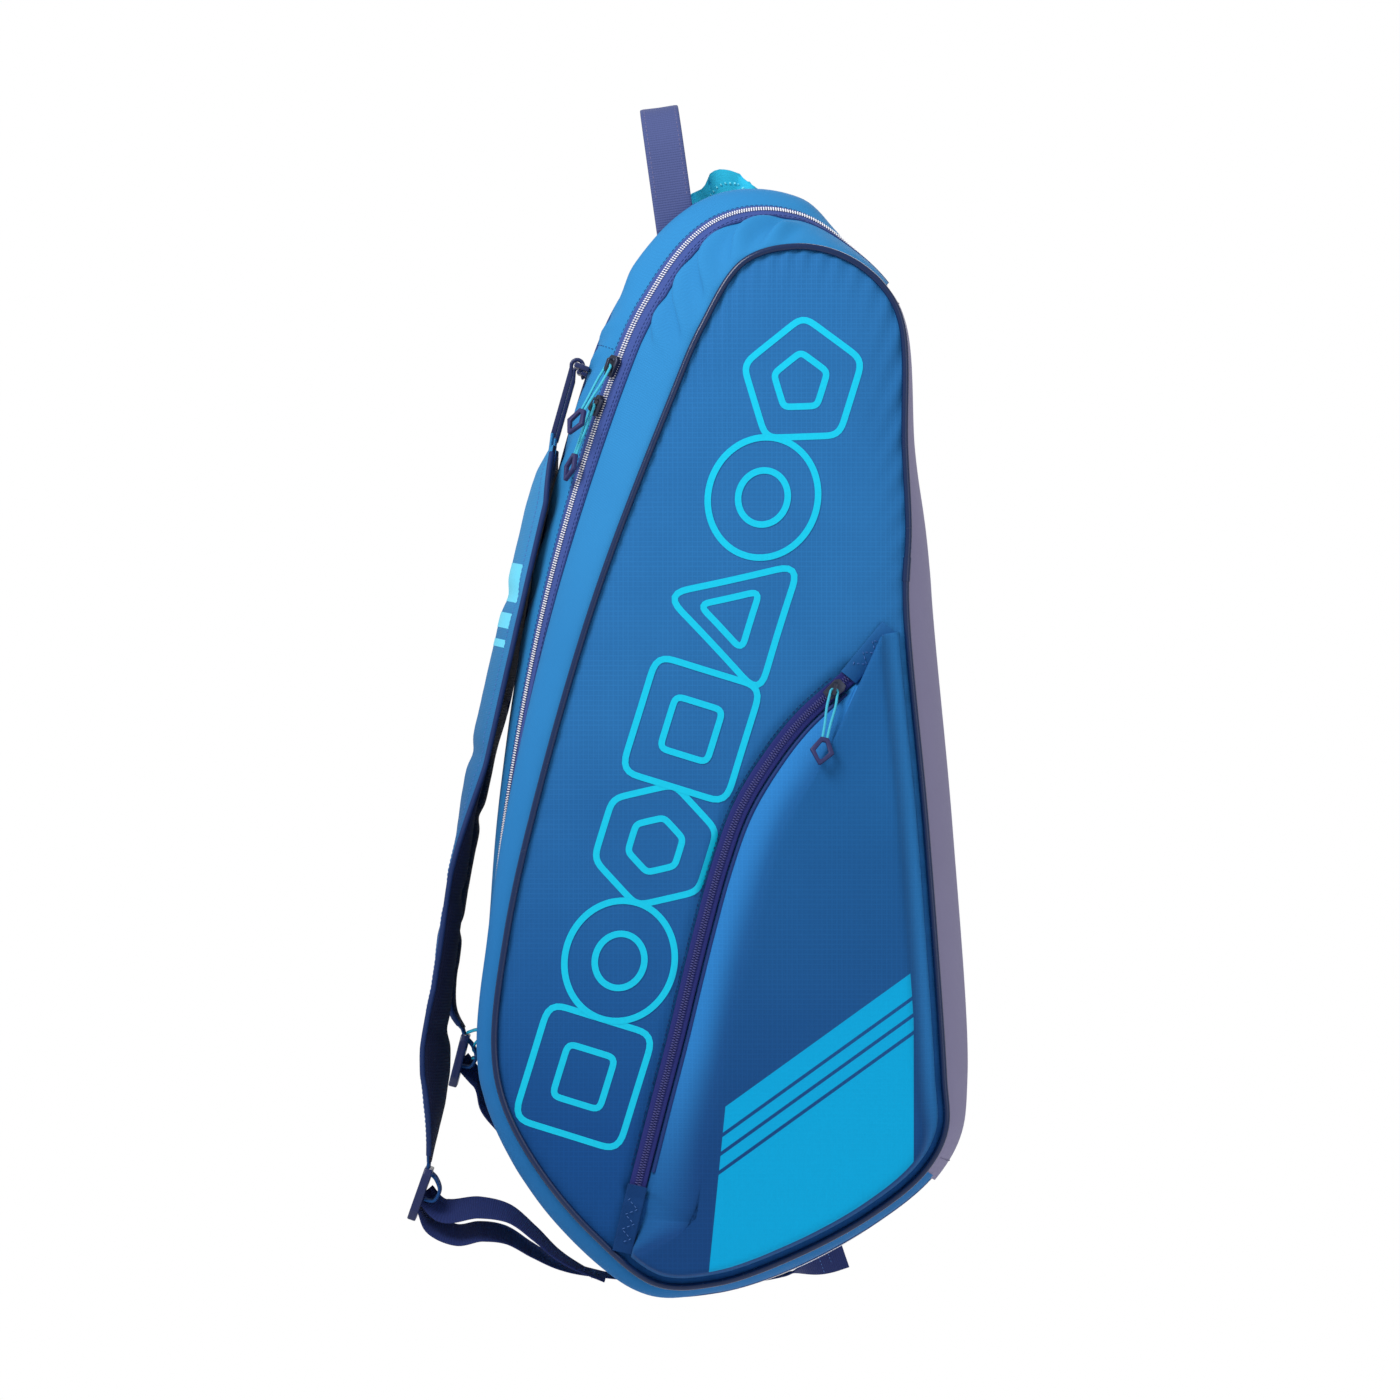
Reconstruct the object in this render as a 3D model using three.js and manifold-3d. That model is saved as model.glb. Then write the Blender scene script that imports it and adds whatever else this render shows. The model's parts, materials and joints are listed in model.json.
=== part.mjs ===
// Racket tournament bag: two clamshell racket compartments with an open-topped
// gear compartment between them, moulded side pockets, backpack straps and a grab handle.
// Millimetres, +Z up, +X towards the spine panel, -Y towards the near compartment.
// Shapes are laid out with Z = 0 at the foot of the bag, then hung from the grab handle.

import * as THREE from 'three';
import { mergeVertices } from 'three/addons/utils/BufferGeometryUtils.js';
import Module from 'manifold-3d';

const wasm = await Module();
wasm.setup();

// ---------------------------------------------------------------- driving sizes

const FACE_WIDTH = 309;        // face panel, piping to piping, at its widest
const FACE_HEIGHT = 714;       // face panel, top piping to bottom piping
const FACE_FOOT = 7;           // lowest piping above the foot of the bag
const HALF_DEPTH = 118;        // middle of the bag to the plane of the piping
const CREST_Y = 45;            // where the gusset reaches its full outward flare
const BULGE = 5;               // how far a packed gusset rounds out past its flare
const FLARE_FULL = 61;         // greatest flare, at the upper left

const WALL = 3;                // foam-backed fabric of gussets and panels
const GAP = 0.4;               // clearance between sewn neighbours
const PIPING_R = 2.4;
const ZIP_Y = 80;              // middle of the compartment zip
const TAPE_WIDTH = 9;          // one side of the compartment zip
const DIVIDER_Y = 36;          // outer face of each divider
const DIVIDER_T = 4.5;
const VALLEY = 18;             // how far the middle band lies below the compartments
const MOUTH_WIDTH = 8;         // the gear compartment's open mouth
const LIP_RISE = 40;           // how far the mouth's loose cloth stands up
const HINGE_OUT = 7;           // lid hinge line outside the piping line

const POCKET_PROUD = 21;       // moulded pocket's flat above the face panel
const POCKET_ZIP_WIDTH = 12;
const POCKET_ZIP_T = 2.4;

const SLIDER_LENGTH = 15;
const SLIDER_WIDTH = 10;
const SLIDER_T = 3.2;
const SLIDER_LIFT = 1.6;       // slider's underside above the zip
const CROWN_LENGTH = 10;
const CROWN_WIDTH = 2.4;
const CROWN_BAR = 1.5;
const CORD_R = 0.9;
const CORD_ROOM = 0.45;        // cord to crown and slider
const CORD_LENGTH = 36;        // crown to tab
const TAB_LENGTH = 20;
const TAB_WIDTH = 17;
const TAB_RIM = 3.2;
const TAB_T = 3;
const TAB_CLEAR = 2;           // pocket pull's tab above the moulded panel

const STRAP_Y = 44;            // middle of each shoulder strap
const STRAP_WIDTH = 60;
const STRAP_T = 11;
const STRAP_NECK = 27;         // strap width where it meets its fittings
const WEBBING_WIDTH = 25;
const WEBBING_T = 1.8;
const HOOK_BAR_R = 1.8;
const HOOK_OUT = 10;           // anchor bar outside the gusset

const HANDLE_WIDTH = 27;
const HANDLE_T = 4;
const HANDLE_HALF_SPAN = 45;
const HANDLE_HEIGHT = 68;      // hinge to the middle of the handle's top
const HANDLE_LEAN = 8 * Math.PI / 180;
const HANDLE_ROOM = 6;         // handle legs above their patches, to lean without rubbing

const STEPS = 3;               // stations between two outline points

const LID_EDGE = HALF_DEPTH - PIPING_R - GAP;

// ---------------------------------------------------------------- finishes

const finish = (color, roughness = 0.8, metalness = 0) =>
    new THREE.MeshStandardMaterial({ color, roughness, metalness });

const FINISH = {
    gusset: finish(0x3a78b8),
    face: finish(0x24619c),
    pocket: finish(0x1c4a86),
    cyan: finish(0x2cc8e0),
    spine: finish(0x625e80),
    board: finish(0x26324a),
    piping: finish(0x14213f, 0.3),
    tape: finish(0x46609f),
    pocketZip: finish(0x2b3168, 0.5),
    webbing: finish(0x212c5a),
    handle: finish(0x5a5f98),
    strap: finish(0x2a5f9e),
    plastic: finish(0x1d2748, 0.35),
    metal: finish(0x3c4152, 0.35, 0.6),
};

// ---------------------------------------------------------------- mesh helpers

const bag = new THREE.Group();

function addPiece(name, geometry, material) {
    const mesh = new THREE.Mesh(geometry, material);
    mesh.name = name;
    bag.add(mesh);
    return mesh;
}

// Turns a closed mesh the right way out, whichever way its faces were listed.
function outwards(geometry) {
    const place = geometry.attributes.position;
    const index = geometry.index.array;
    const [a, b, c] = [new THREE.Vector3(), new THREE.Vector3(), new THREE.Vector3()];
    let volume = 0;
    for (let i = 0; i < index.length; i += 3) {
        a.fromBufferAttribute(place, index[i]);
        b.fromBufferAttribute(place, index[i + 1]);
        c.fromBufferAttribute(place, index[i + 2]);
        volume += a.dot(b.cross(c));
    }
    if (volume < 0) {
        for (let i = 0; i < index.length; i += 3) {
            [index[i + 1], index[i + 2]] = [index[i + 2], index[i + 1]];
        }
    }
    return geometry;
}

// Skins a row of rings with the same number of points. An open row gets flat ends.
function loft(rings, closed = false) {
    const size = rings[0].length;
    const points = rings.flat().flatMap((point) => [point.x, point.y, point.z]);
    const index = [];
    const last = closed ? rings.length : rings.length - 1;
    for (let i = 0; i < last; i += 1) {
        const here = i * size;
        const next = ((i + 1) % rings.length) * size;
        for (let j = 0; j < size; j += 1) {
            const k = (j + 1) % size;
            index.push(here + j, next + j, next + k, here + j, next + k, here + k);
        }
    }
    if (!closed) {
        for (const [start, turn] of [[0, false], [(rings.length - 1) * size, true]]) {
            for (const [a, b, c] of endFaces(rings[start / size])) {
                const [second, third] = turn ? [c, b] : [b, c];
                index.push(start + a, start + second, start + third);
            }
        }
    }
    const geometry = new THREE.BufferGeometry();
    geometry.setAttribute('position', new THREE.Float32BufferAttribute(points, 3));
    geometry.setIndex(index);
    return outwards(geometry);
}

// Triangles that close a loft's end. A section of few points is a band, whose second half
// runs back beside the first; a longer one is a flat outline.
const BAND_POINTS = 20;
function endFaces(ring) {
    const count = ring.length;
    if (count <= BAND_POINTS) {
        const quads = Array.from({ length: count / 2 - 1 }, (_, i) => i);
        return quads.flatMap((i) => [
            [i, i + 1, count - 2 - i], [i, count - 2 - i, count - 1 - i]]);
    }
    const normal = new THREE.Vector3();
    ring.forEach((point, i) => {
        normal.add(new THREE.Vector3().crossVectors(point, ring[(i + 1) % count]));
    });
    normal.normalize();
    const along = new THREE.Vector3().subVectors(ring[1], ring[0]).normalize();
    along.addScaledVector(normal, -along.dot(normal)).normalize();
    const across = new THREE.Vector3().crossVectors(normal, along);
    const flat = ring.map((point) => new THREE.Vector2(point.dot(along), point.dot(across)));
    return THREE.ShapeUtils.triangulateShape(flat, []);
}

// A ribbon of rectangular section along a curve; width and its direction may change.
function ribbon(path, stations, width, thickness, widthDirection) {
    const rings = [];
    for (let i = 0; i <= stations; i += 1) {
        const t = i / stations;
        const centre = path.getPoint(t);
        const forward = path.getTangent(t);
        const side = widthDirection(t).clone();
        side.addScaledVector(forward, -side.dot(forward)).normalize();
        const out = new THREE.Vector3().crossVectors(forward, side);
        const w = width(t) / 2;
        const h = thickness(t) / 2;
        const corner = (a, b) => centre.clone().addScaledVector(side, a).addScaledVector(out, b);
        rings.push([corner(-w, -h), corner(w, -h), corner(w, h), corner(-w, h)]);
    }
    return loft(rings);
}

function tube(points, radius, sides) {
    const section = new THREE.Shape();
    for (let i = 0; i < sides; i += 1) {
        const angle = 2 * Math.PI * i / sides;
        const [x, y] = [radius * Math.cos(angle), radius * Math.sin(angle)];
        if (i === 0) section.moveTo(x, y);
        else section.lineTo(x, y);
    }
    const path = new THREE.CatmullRomCurve3(points);
    const steps = 2 * (points.length - 1);
    return new THREE.ExtrudeGeometry(section, { extrudePath: path, steps });
}

function plate(points, depth, holes = []) {
    const shape = new THREE.Shape(points);
    shape.holes = holes.map((hole) => new THREE.Path(hole));
    return new THREE.ExtrudeGeometry(shape, { depth, bevelEnabled: false });
}

// Local x, y, z of a small part become across, along and out at a place on the bag.
function placeLocal(geometry, origin, across, along, out) {
    const basis = new THREE.Matrix4().makeBasis(across, along, out).setPosition(origin);
    geometry.applyMatrix4(basis);
    return tidy(geometry);
}

function tidy(geometry) {
    const bare = geometry.clone();
    bare.deleteAttribute('normal');
    bare.deleteAttribute('uv');
    return outwards(mergeVertices(bare, 1e-4));
}

function toSolid(geometry) {
    const closed = tidy(geometry);
    const vertProperties = closed.attributes.position.array;
    const triVerts = new Uint32Array(closed.index.array);
    return new wasm.Manifold(new wasm.Mesh({ numProp: 3, vertProperties, triVerts }));
}

function toGeometry(solid) {
    const { vertProperties, triVerts } = solid.getMesh();
    const geometry = new THREE.BufferGeometry();
    geometry.setAttribute('position', new THREE.Float32BufferAttribute(vertProperties, 3));
    geometry.setIndex([...triVerts]);
    return geometry;
}

const join = (a, b) => toGeometry(toSolid(a).add(toSolid(b)));
const cut = (a, b) => toGeometry(toSolid(a).subtract(toSolid(b)));

// ---------------------------------------------------------------- outline of the bag

// The face panel's outline, clockwise from the top: how far across and up the face each
// point lies, as shares of its width and height, and the gusset's outward flare there.
const OUTLINE = [
    [0.667, 1.000, 34], [0.783, 0.989, 9], [0.862, 0.962, 2], [0.903, 0.927, 2],
    [0.911, 0.808, 6], [0.919, 0.728, 10], [0.913, 0.661, 17], [0.958, 0.440, 17],
    [0.997, 0.204, 15], [1.000, 0.151, 9], [0.955, 0.113, 8], [0.835, 0.070, 8],
    [0.657, 0.029, 10], [0.489, 0.004, 8], [0.359, 0.004, 8], [0.223, 0.050, 15],
    [0.100, 0.113, 13], [0.023, 0.175, 9], [0.000, 0.230, 8], [0.029, 0.343, 12],
    [0.091, 0.464, 25], [0.225, 0.664, 45.5], [0.392, 0.854, 61], [0.460, 0.923, 60],
    [0.552, 0.985, 50],
];
const FACE_LEFT = -0.456 * FACE_WIDTH;
const SHOULDER = 2;            // outline points where spine panel and gussets meet
const HEEL = 10;

const outline = new THREE.CatmullRomCurve3(
    OUTLINE.map(([across, up, flare]) => new THREE.Vector3(
        FACE_LEFT + across * FACE_WIDTH, FACE_FOOT + up * FACE_HEIGHT, flare)),
    true, 'centripetal');

// A point of the outline, its outward direction and its flare. Place 2 is outline point 2.
function station(place) {
    const u = ((place / OUTLINE.length) % 1 + 1) % 1;
    const here = outline.getPoint(u);
    const step = 0.002;
    const before = outline.getPoint((u - step + 1) % 1);
    const after = outline.getPoint((u + step) % 1);
    const tangent = new THREE.Vector2(after.x - before.x, after.y - before.y).normalize();
    return { x: here.x, z: here.y, flare: here.z, outX: -tangent.y, outZ: tangent.x };
}

// How far outside the piping line the gusset's outer face lies at a depth.
function gussetOffset(flare, y) {
    const share = Math.min(1, (HALF_DEPTH - Math.abs(y)) / (HALF_DEPTH - CREST_Y));
    const rounding = BULGE * (1 - flare / FLARE_FULL);
    return flare * Math.sin(share * Math.PI / 2) + rounding * Math.sin(share * Math.PI);
}

function at(place, offset, y) {
    const { x, z, outX, outZ } = station(place);
    return new THREE.Vector3(x + outX * offset, y, z + outZ * offset);
}

function places(from, to) {
    const count = Math.round((to - from) * STEPS);
    return Array.from({ length: count + 1 }, (_, i) => from + (to - from) * i / count);
}

// A place moved along the outline by a distance.
function along(place, distance) {
    const step = 0.01;
    const a = at(place, 0, 0);
    const b = at(place + step, 0, 0);
    return place + step * distance / a.distanceTo(b);
}

// A wall that follows the gusset's outer face between two places, through given depths.
function gussetWall(from, to, side, depths, sink = 0) {
    const rings = places(from, to).map((place) => {
        const { flare } = station(place);
        const outer = depths.map((y) => at(place, gussetOffset(flare, y) - sink, side * y));
        const inner = depths.map((y) => at(place, gussetOffset(flare, y) - sink - WALL, side * y));
        return [...outer, ...inner.reverse()];
    });
    return loft(rings);
}

// A flat board across the bag's whole outline.
function board(offsetAt, side, yOuter, thickness) {
    const whole = places(0, OUTLINE.length).slice(0, -1);
    const rim = (y) => whole.map((place) => at(place, offsetAt(place), side * y));
    return loft([rim(yOuter), rim(yOuter - thickness)]);
}

const WRAP = OUTLINE.length + SHOULDER;      // the shoulder again, after going round
const MOUTH_START = OUTLINE.length - 0.85;   // the gear compartment's mouth starts here
const LIP_END = OUTLINE.length + 1;          // and its loose cloth lies flat from here
const inSpine = (place) => place % OUTLINE.length >= SHOULDER && place % OUTLINE.length <= HEEL;

// ---------------------------------------------------------------- middle of the bag

function insideSpine(place) {
    const { flare } = station(place);
    return inSpine(place) ? flare - WALL - GAP : flare;
}

// The mouth's loose cloth stands highest near the handle and dies out towards the spine.
function lipRise(place) {
    const share = (place - MOUTH_START) / (LIP_END - MOUTH_START);
    return share < 1 ? LIP_RISE * Math.sin(Math.PI * share) : 0;
}

function addMiddle() {
    const bandY = DIVIDER_Y - DIVIDER_T - GAP;
    const band = places(HEEL, MOUTH_START).map((place) => {
        const offset = station(place).flare - VALLEY;
        const outer = [-bandY, 0, bandY].map((y) => at(place, offset, y));
        const inner = [bandY, 0, -bandY].map((y) => at(place, offset - WALL, y));
        return [...outer, ...inner];
    });
    addPiece('middle_band', loft(band), FINISH.cyan);

    for (const [name, side] of [['near', -1], ['far', 1]]) {
        const edge = side * MOUTH_WIDTH / 2;
        const flap = edge + side * WALL;
        const lip = places(along(MOUTH_START, GAP), WRAP).map((place) => {
            const offset = station(place).flare - VALLEY;
            const crest = offset + lipRise(place) + WALL / 2;
            return [
                at(place, offset, side * bandY), at(place, offset, flap), at(place, crest, flap),
                at(place, crest, edge), at(place, offset - WALL, edge),
                at(place, offset - WALL, side * bandY),
            ];
        });
        addPiece(`${name}_mouth_lip`, loft(lip), FINISH.cyan);
        addPiece(`${name}_divider`, board(insideSpine, side, DIVIDER_Y, DIVIDER_T), FINISH.board);
    }

    const spineDepths = [-1, -0.8, -0.58, -0.3, 0, 0.3, 0.58, 0.8, 1].map((share) => share * LID_EDGE);
    const spine = gussetWall(along(SHOULDER, GAP), along(HEEL, -GAP), 1, spineDepths);
    addPiece('spine_panel', spine, FINISH.spine);
}

// ---------------------------------------------------------------- one compartment

function circleThrough(a, b, c) {
    const [abx, aby, acx, acy] = [b.x - a.x, b.z - a.z, c.x - a.x, c.z - a.z];
    const twice = 2 * (abx * acy - aby * acx);
    const ab = abx * abx + aby * aby;
    const ac = acx * acx + acy * acy;
    const centreX = a.x + (acy * ab - aby * ac) / twice;
    const centreZ = a.z + (abx * ac - acx * ab) / twice;
    return new THREE.Vector3(centreX, a.y, centreZ);
}

const FRONT_TAPE = [ZIP_Y + TAPE_WIDTH, ZIP_Y + GAP / 2];
const REAR_TAPE = [ZIP_Y - GAP / 2, ZIP_Y - TAPE_WIDTH];

function addCompartment(name, side) {
    const middleFront = (LID_EDGE + FRONT_TAPE[0]) / 2;
    const middleRear = (REAR_TAPE[1] + DIVIDER_Y) / 2;
    const front = gussetWall(HEEL, WRAP, side, [LID_EDGE, middleFront, FRONT_TAPE[0] + GAP]);
    addPiece(`${name}_front_gusset`, front, FINISH.gusset);
    addPiece(`${name}_front_zip_tape`, gussetWall(HEEL, WRAP, side, FRONT_TAPE), FINISH.tape);
    addPiece(`${name}_rear_zip_tape`, gussetWall(HEEL, WRAP, side, REAR_TAPE), FINISH.tape);
    const rear = gussetWall(HEEL, WRAP, side, [REAR_TAPE[1] - GAP, middleRear, DIVIDER_Y + GAP]);
    addPiece(`${name}_rear_gusset`, rear, FINISH.gusset);

    const whole = places(0, OUTLINE.length).slice(0, -1);
    const piping = whole.map((place) => Array.from({ length: 6 }, (_, i) => {
        const angle = Math.PI * i / 3;
        const y = HALF_DEPTH + PIPING_R * Math.sin(angle);
        return at(place, PIPING_R * Math.cos(angle), side * y);
    }));
    addPiece(`${name}_piping`, loft(piping, true), FINISH.piping);
    const face = board(() => -PIPING_R - GAP, side, HALF_DEPTH, HALF_DEPTH - LID_EDGE);
    addPiece(`${name}_face_panel`, face, FINISH.face);
}

// ---------------------------------------------------------------- moulded pocket

// Runs of the pocket zip and of the crease beside it, from the slider down to the foot,
// as shares of the face's width and height.
const onFace = ([across, up]) => new THREE.Vector3(
    FACE_LEFT + across * FACE_WIDTH, 0, FACE_FOOT + up * FACE_HEIGHT);
const pocketZipPath = new THREE.CatmullRomCurve3([
    [0.790, 0.588], [0.680, 0.545], [0.600, 0.500], [0.545, 0.459], [0.501, 0.406],
    [0.467, 0.353], [0.434, 0.296], [0.401, 0.237], [0.361, 0.171], [0.317, 0.097],
].map(onFace));
const creasePath = new THREE.CatmullRomCurve3([
    [0.727, 0.504], [0.629, 0.429], [0.579, 0.349], [0.536, 0.276], [0.494, 0.184],
    [0.466, 0.129], [0.459, 0.062],
].map(onFace));

const POCKET_RIM = 6;          // pocket's edge inside the piping
const POCKET_SHOULDER = 20;    // pocket's flat inside the piping, at the spine side
const POCKET_FOOT = 10;        // pocket's flat inside the piping, at the foot
const GARAGE_ROOM = 3;         // zip garages to the piping
const POCKET_TOP_PLACE = 6.17; // outline places between which the pocket meets the piping
const POCKET_FOOT_PLACE = 14.5;

function sideways(path, t, distance) {
    const forward = path.getTangent(t);
    const right = new THREE.Vector3(-forward.z, 0, forward.x).multiplyScalar(distance);
    return path.getPoint(t).add(right);
}

function addPocket(name, side) {
    const runs = 14;
    const onZipSide = Array.from({ length: runs + 1 }, (_, i) => i / runs);
    const onPipingSide = places(POCKET_TOP_PLACE, POCKET_FOOT_PLACE).reverse();
    const lift = (point, y) => new THREE.Vector3(point.x, side * y, point.z);
    const ring = (inset, blend, y) => {
        const zipSide = onZipSide.map((t) => {
            const rim = sideways(pocketZipPath, t, POCKET_ZIP_WIDTH / 2 + GAP + inset);
            return lift(rim.lerp(sideways(creasePath, t, inset), blend), y);
        });
        const pipingSide = onPipingSide.map((place) => {
            const flat = place < HEEL - 1 ? POCKET_SHOULDER : POCKET_FOOT;
            const rim = -POCKET_RIM - inset;
            return at(place, rim + (-flat + POCKET_RIM) * blend, side * y);
        });
        return [...zipSide, ...pipingSide];
    };
    const base = HALF_DEPTH + GAP;
    const flatY = HALF_DEPTH + POCKET_PROUD;
    const shell = [
        ring(0, 1, flatY), ring(0, 0.12, base + 6), ring(0, 0, base),
        ring(WALL, 0, base), ring(WALL, 0.12, base + 4), ring(WALL, 1, flatY - WALL),
    ];
    addPiece(`${name}_pocket_panel`, loft(shell), FINISH.pocket);

    const zipRings = Array.from({ length: 31 }, (_, i) => {
        const t = i / 30;
        const half = POCKET_ZIP_WIDTH / 2;
        const top = base + POCKET_ZIP_T;
        return [
            lift(sideways(pocketZipPath, t, -half), base), lift(sideways(pocketZipPath, t, half), base),
            lift(sideways(pocketZipPath, t, half), top), lift(sideways(pocketZipPath, t, -half), top),
        ];
    });
    addPiece(`${name}_pocket_zip`, loft(zipRings), FINISH.pocketZip);

    const ends = [['upper', 0, POCKET_TOP_PLACE, 1], ['lower', 1, POCKET_FOOT_PLACE, -1]];
    for (const [end, t, place, sign] of ends) {
        const zipEnd = sideways(pocketZipPath, t, POCKET_ZIP_WIDTH / 2 + GAP);
        const pipingEnd = at(place, -POCKET_RIM, 0);
        const run = pipingEnd.clone().sub(zipEnd).normalize();
        const beside = new THREE.Vector3(-run.z, 0, run.x).multiplyScalar(sign);
        const shift = beside.multiplyScalar(POCKET_ZIP_WIDTH / 2 + GAP);
        const from = zipEnd.clone().add(shift).addScaledVector(run, POCKET_ZIP_WIDTH / 2);
        const to = pipingEnd.clone().add(shift).addScaledVector(run, -PIPING_R - GARAGE_ROOM);
        const middle = base + WALL / 2;
        const path = new THREE.LineCurve3(lift(from, middle), lift(to, middle));
        const strip = ribbon(path, 1, () => POCKET_ZIP_WIDTH, () => WALL - GAP, () => shift);
        addPiece(`${name}_pocket_garage_${end}`, strip, FINISH.webbing);
    }
}

// ---------------------------------------------------------------- zip sliders and pulls

function sliderShape(crownTurn) {
    const half = SLIDER_WIDTH / 2;
    const end = SLIDER_LENGTH / 2;
    const body = plate([
        new THREE.Vector2(-half, -end + 3), new THREE.Vector2(-half + 2, -end),
        new THREE.Vector2(half - 2, -end), new THREE.Vector2(half, -end + 3),
        new THREE.Vector2(half - 1.2, end), new THREE.Vector2(-half + 1.2, end),
    ], SLIDER_T);
    const [reach, room] = [CROWN_LENGTH / 2, 2 * CORD_R + 2 * CORD_ROOM];
    const foot = SLIDER_T - 0.5;
    const crown = plate([
        new THREE.Vector2(-reach, foot), new THREE.Vector2(-reach + CROWN_BAR, foot),
        new THREE.Vector2(-reach + CROWN_BAR, SLIDER_T + room - 0.6),
        new THREE.Vector2(-reach + CROWN_BAR + 0.6, SLIDER_T + room),
        new THREE.Vector2(reach - CROWN_BAR - 0.6, SLIDER_T + room),
        new THREE.Vector2(reach - CROWN_BAR, SLIDER_T + room - 0.6),
        new THREE.Vector2(reach - CROWN_BAR, foot), new THREE.Vector2(reach, foot),
        new THREE.Vector2(reach, SLIDER_T + room + CROWN_BAR - 1.2),
        new THREE.Vector2(reach - 1.2, SLIDER_T + room + CROWN_BAR),
        new THREE.Vector2(-reach + 1.2, SLIDER_T + room + CROWN_BAR),
        new THREE.Vector2(-reach, SLIDER_T + room + CROWN_BAR - 1.2),
    ], CROWN_WIDTH);
    crown.translate(0, 0, -CROWN_WIDTH / 2);
    const turned = new THREE.Matrix4().makeBasis(
        new THREE.Vector3(0, 1, 0), new THREE.Vector3(0, 0, 1), new THREE.Vector3(1, 0, 0));
    crown.applyMatrix4(turned);
    crown.rotateZ(crownTurn);
    return join(body, crown);
}

// The cord's middle in the crown, above the slider's underside.
const CORD_HEIGHT = SLIDER_T + CORD_ROOM + CORD_R;

// Local frame: the pull hangs along +Y from the crown at the origin, +Z away from the bag.
function cordShape() {
    const half = CROWN_WIDTH / 2 + CORD_ROOM + CORD_R;
    const top = [-60, -30, 0, 30, 60].map((degrees) => {
        const angle = degrees * Math.PI / 180;
        const x = half * Math.sin(angle);
        return new THREE.Vector3(x, half * (1 - Math.cos(angle)) - CORD_ROOM / 2, 0);
    });
    const strand = (sign) => [
        new THREE.Vector3(sign * half, half + 1, 0),
        new THREE.Vector3(sign * (half + 0.3), CORD_LENGTH * 0.35, 0),
        new THREE.Vector3(sign * half * 0.8, CORD_LENGTH * 0.7, 0),
        new THREE.Vector3(sign * half * 0.6, CORD_LENGTH, 0),
    ];
    return tube([...strand(-1).reverse(), ...top, ...strand(1)], CORD_R, 6);
}

function tabShape() {
    const start = CORD_LENGTH + GAP;
    const diamond = (inset) => [
        [-2.8 + inset * 0.5, inset], [2.8 - inset * 0.5, inset],
        [TAB_WIDTH / 2 - inset * 1.2, TAB_LENGTH * 0.52], [0.8, TAB_LENGTH - inset * 1.2],
        [-0.8, TAB_LENGTH - inset * 1.2], [-TAB_WIDTH / 2 + inset * 1.2, TAB_LENGTH * 0.52],
    ].map(([x, y]) => new THREE.Vector2(x, start + y));
    const ring = plate(diamond(0), TAB_T, [diamond(TAB_RIM)]);
    return ring.translate(0, 0, -TAB_T / 2);
}

// A slider on a surface: foot on the zip, the zip's run and the way out from the cloth.
// Its crown stands turned from the run about the way out.
function addSlider(name, foot, run, out, crownTurn = 0) {
    const across = new THREE.Vector3().crossVectors(run, out);
    const base = foot.clone().addScaledVector(out, SLIDER_LIFT);
    const shape = placeLocal(sliderShape(crownTurn), base, across, run, out);
    addPiece(`${name}_slider`, shape, FINISH.metal);
    return base.clone().addScaledVector(out, CORD_HEIGHT);
}

// A pull hangs from a crown along a direction in the cloth's plane, lifted off the cloth.
function addPull(name, crown, direction, out, lifted) {
    const axis = new THREE.Vector3().crossVectors(direction, out).normalize();
    const hang = direction.clone().applyAxisAngle(axis, lifted);
    const away = out.clone().applyAxisAngle(axis, lifted);
    addPiece(`${name}_pull_cord`, placeLocal(cordShape(), crown, axis, hang, away), FINISH.cyan);
    addPiece(`${name}_pull_tab`, placeLocal(tabShape(), crown, axis, hang, away), FINISH.plastic);
    return { crown, axis };
}

// ---------------------------------------------------------------- joints of the bag

const joints = {};
const HINGE_TOP_PLACE = 3;
const HINGE_FOOT_PLACE = 8.8;

const UPPER_PARK = 22.12;      // outline places of the parked sliders
const LOWER_PARK = 21.82;
const UPPER_MIDDLE = 22.6;     // on the arc that each one travels
const LOWER_MIDDLE = 20.45;
const UPPER_TOP = 23.05;       // how far up the upper slider can go
const LOWER_FOOT = 18.0;       // how far down the lower slider can go
const GEAR_PARK = OUTLINE.length + 1.4;
const POCKET_PARK = 0.035;     // shares of the pocket zip's run
const POCKET_TRAVEL_END = 0.42;
const UPPER_PULL_LIFT = 15 * Math.PI / 180;
const LOWER_PULL_LIFT = 2 * Math.PI / 180;
const PULL_LEAN = 12 * Math.PI / 180;

function zipPoint(place, side) {
    return at(place, gussetOffset(station(place).flare, ZIP_Y), side * ZIP_Y);
}

function outwardFrom(centre, point) {
    return point.clone().sub(centre).normalize();
}

// The gusset's outward normal at the zip leans towards the face by this angle.
function zipLean(place) {
    const { flare } = station(place);
    const rise = gussetOffset(flare, ZIP_Y - 1) - gussetOffset(flare, ZIP_Y + 1);
    return Math.atan(rise / 2);
}

function addMainSliders(name, side) {
    const levels = [
        ['upper', UPPER_PARK, UPPER_MIDDLE, UPPER_TOP, UPPER_PULL_LIFT],
        ['lower', LOWER_PARK, LOWER_MIDDLE, LOWER_FOOT, LOWER_PULL_LIFT],
    ];
    for (const [level, park, middle, far, lifted] of levels) {
        const [from, to] = [zipPoint(park, side), zipPoint(far, side)];
        const centre = circleThrough(from, zipPoint(middle, side), to);
        const radial = outwardFrom(centre, from);
        const run = new THREE.Vector3(-radial.z, 0, radial.x);
        const lean = (zipLean(park) + zipLean(far)) / 2;
        const out = radial.multiplyScalar(Math.cos(lean));
        out.y = side * Math.sin(lean);
        const crown = addSlider(`${name}_${level}`, from, run, out);
        const pull = addPull(`${name}_${level}`, crown, run, out, lifted);
        joints[`${name}_${level}`] = { centre, turn: turnBetween(centre, from, to), ...pull };
    }
}

function turnBetween(centre, from, to) {
    return 2 * Math.asin(from.distanceTo(to) / 2 / from.distanceTo(centre));
}

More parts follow.
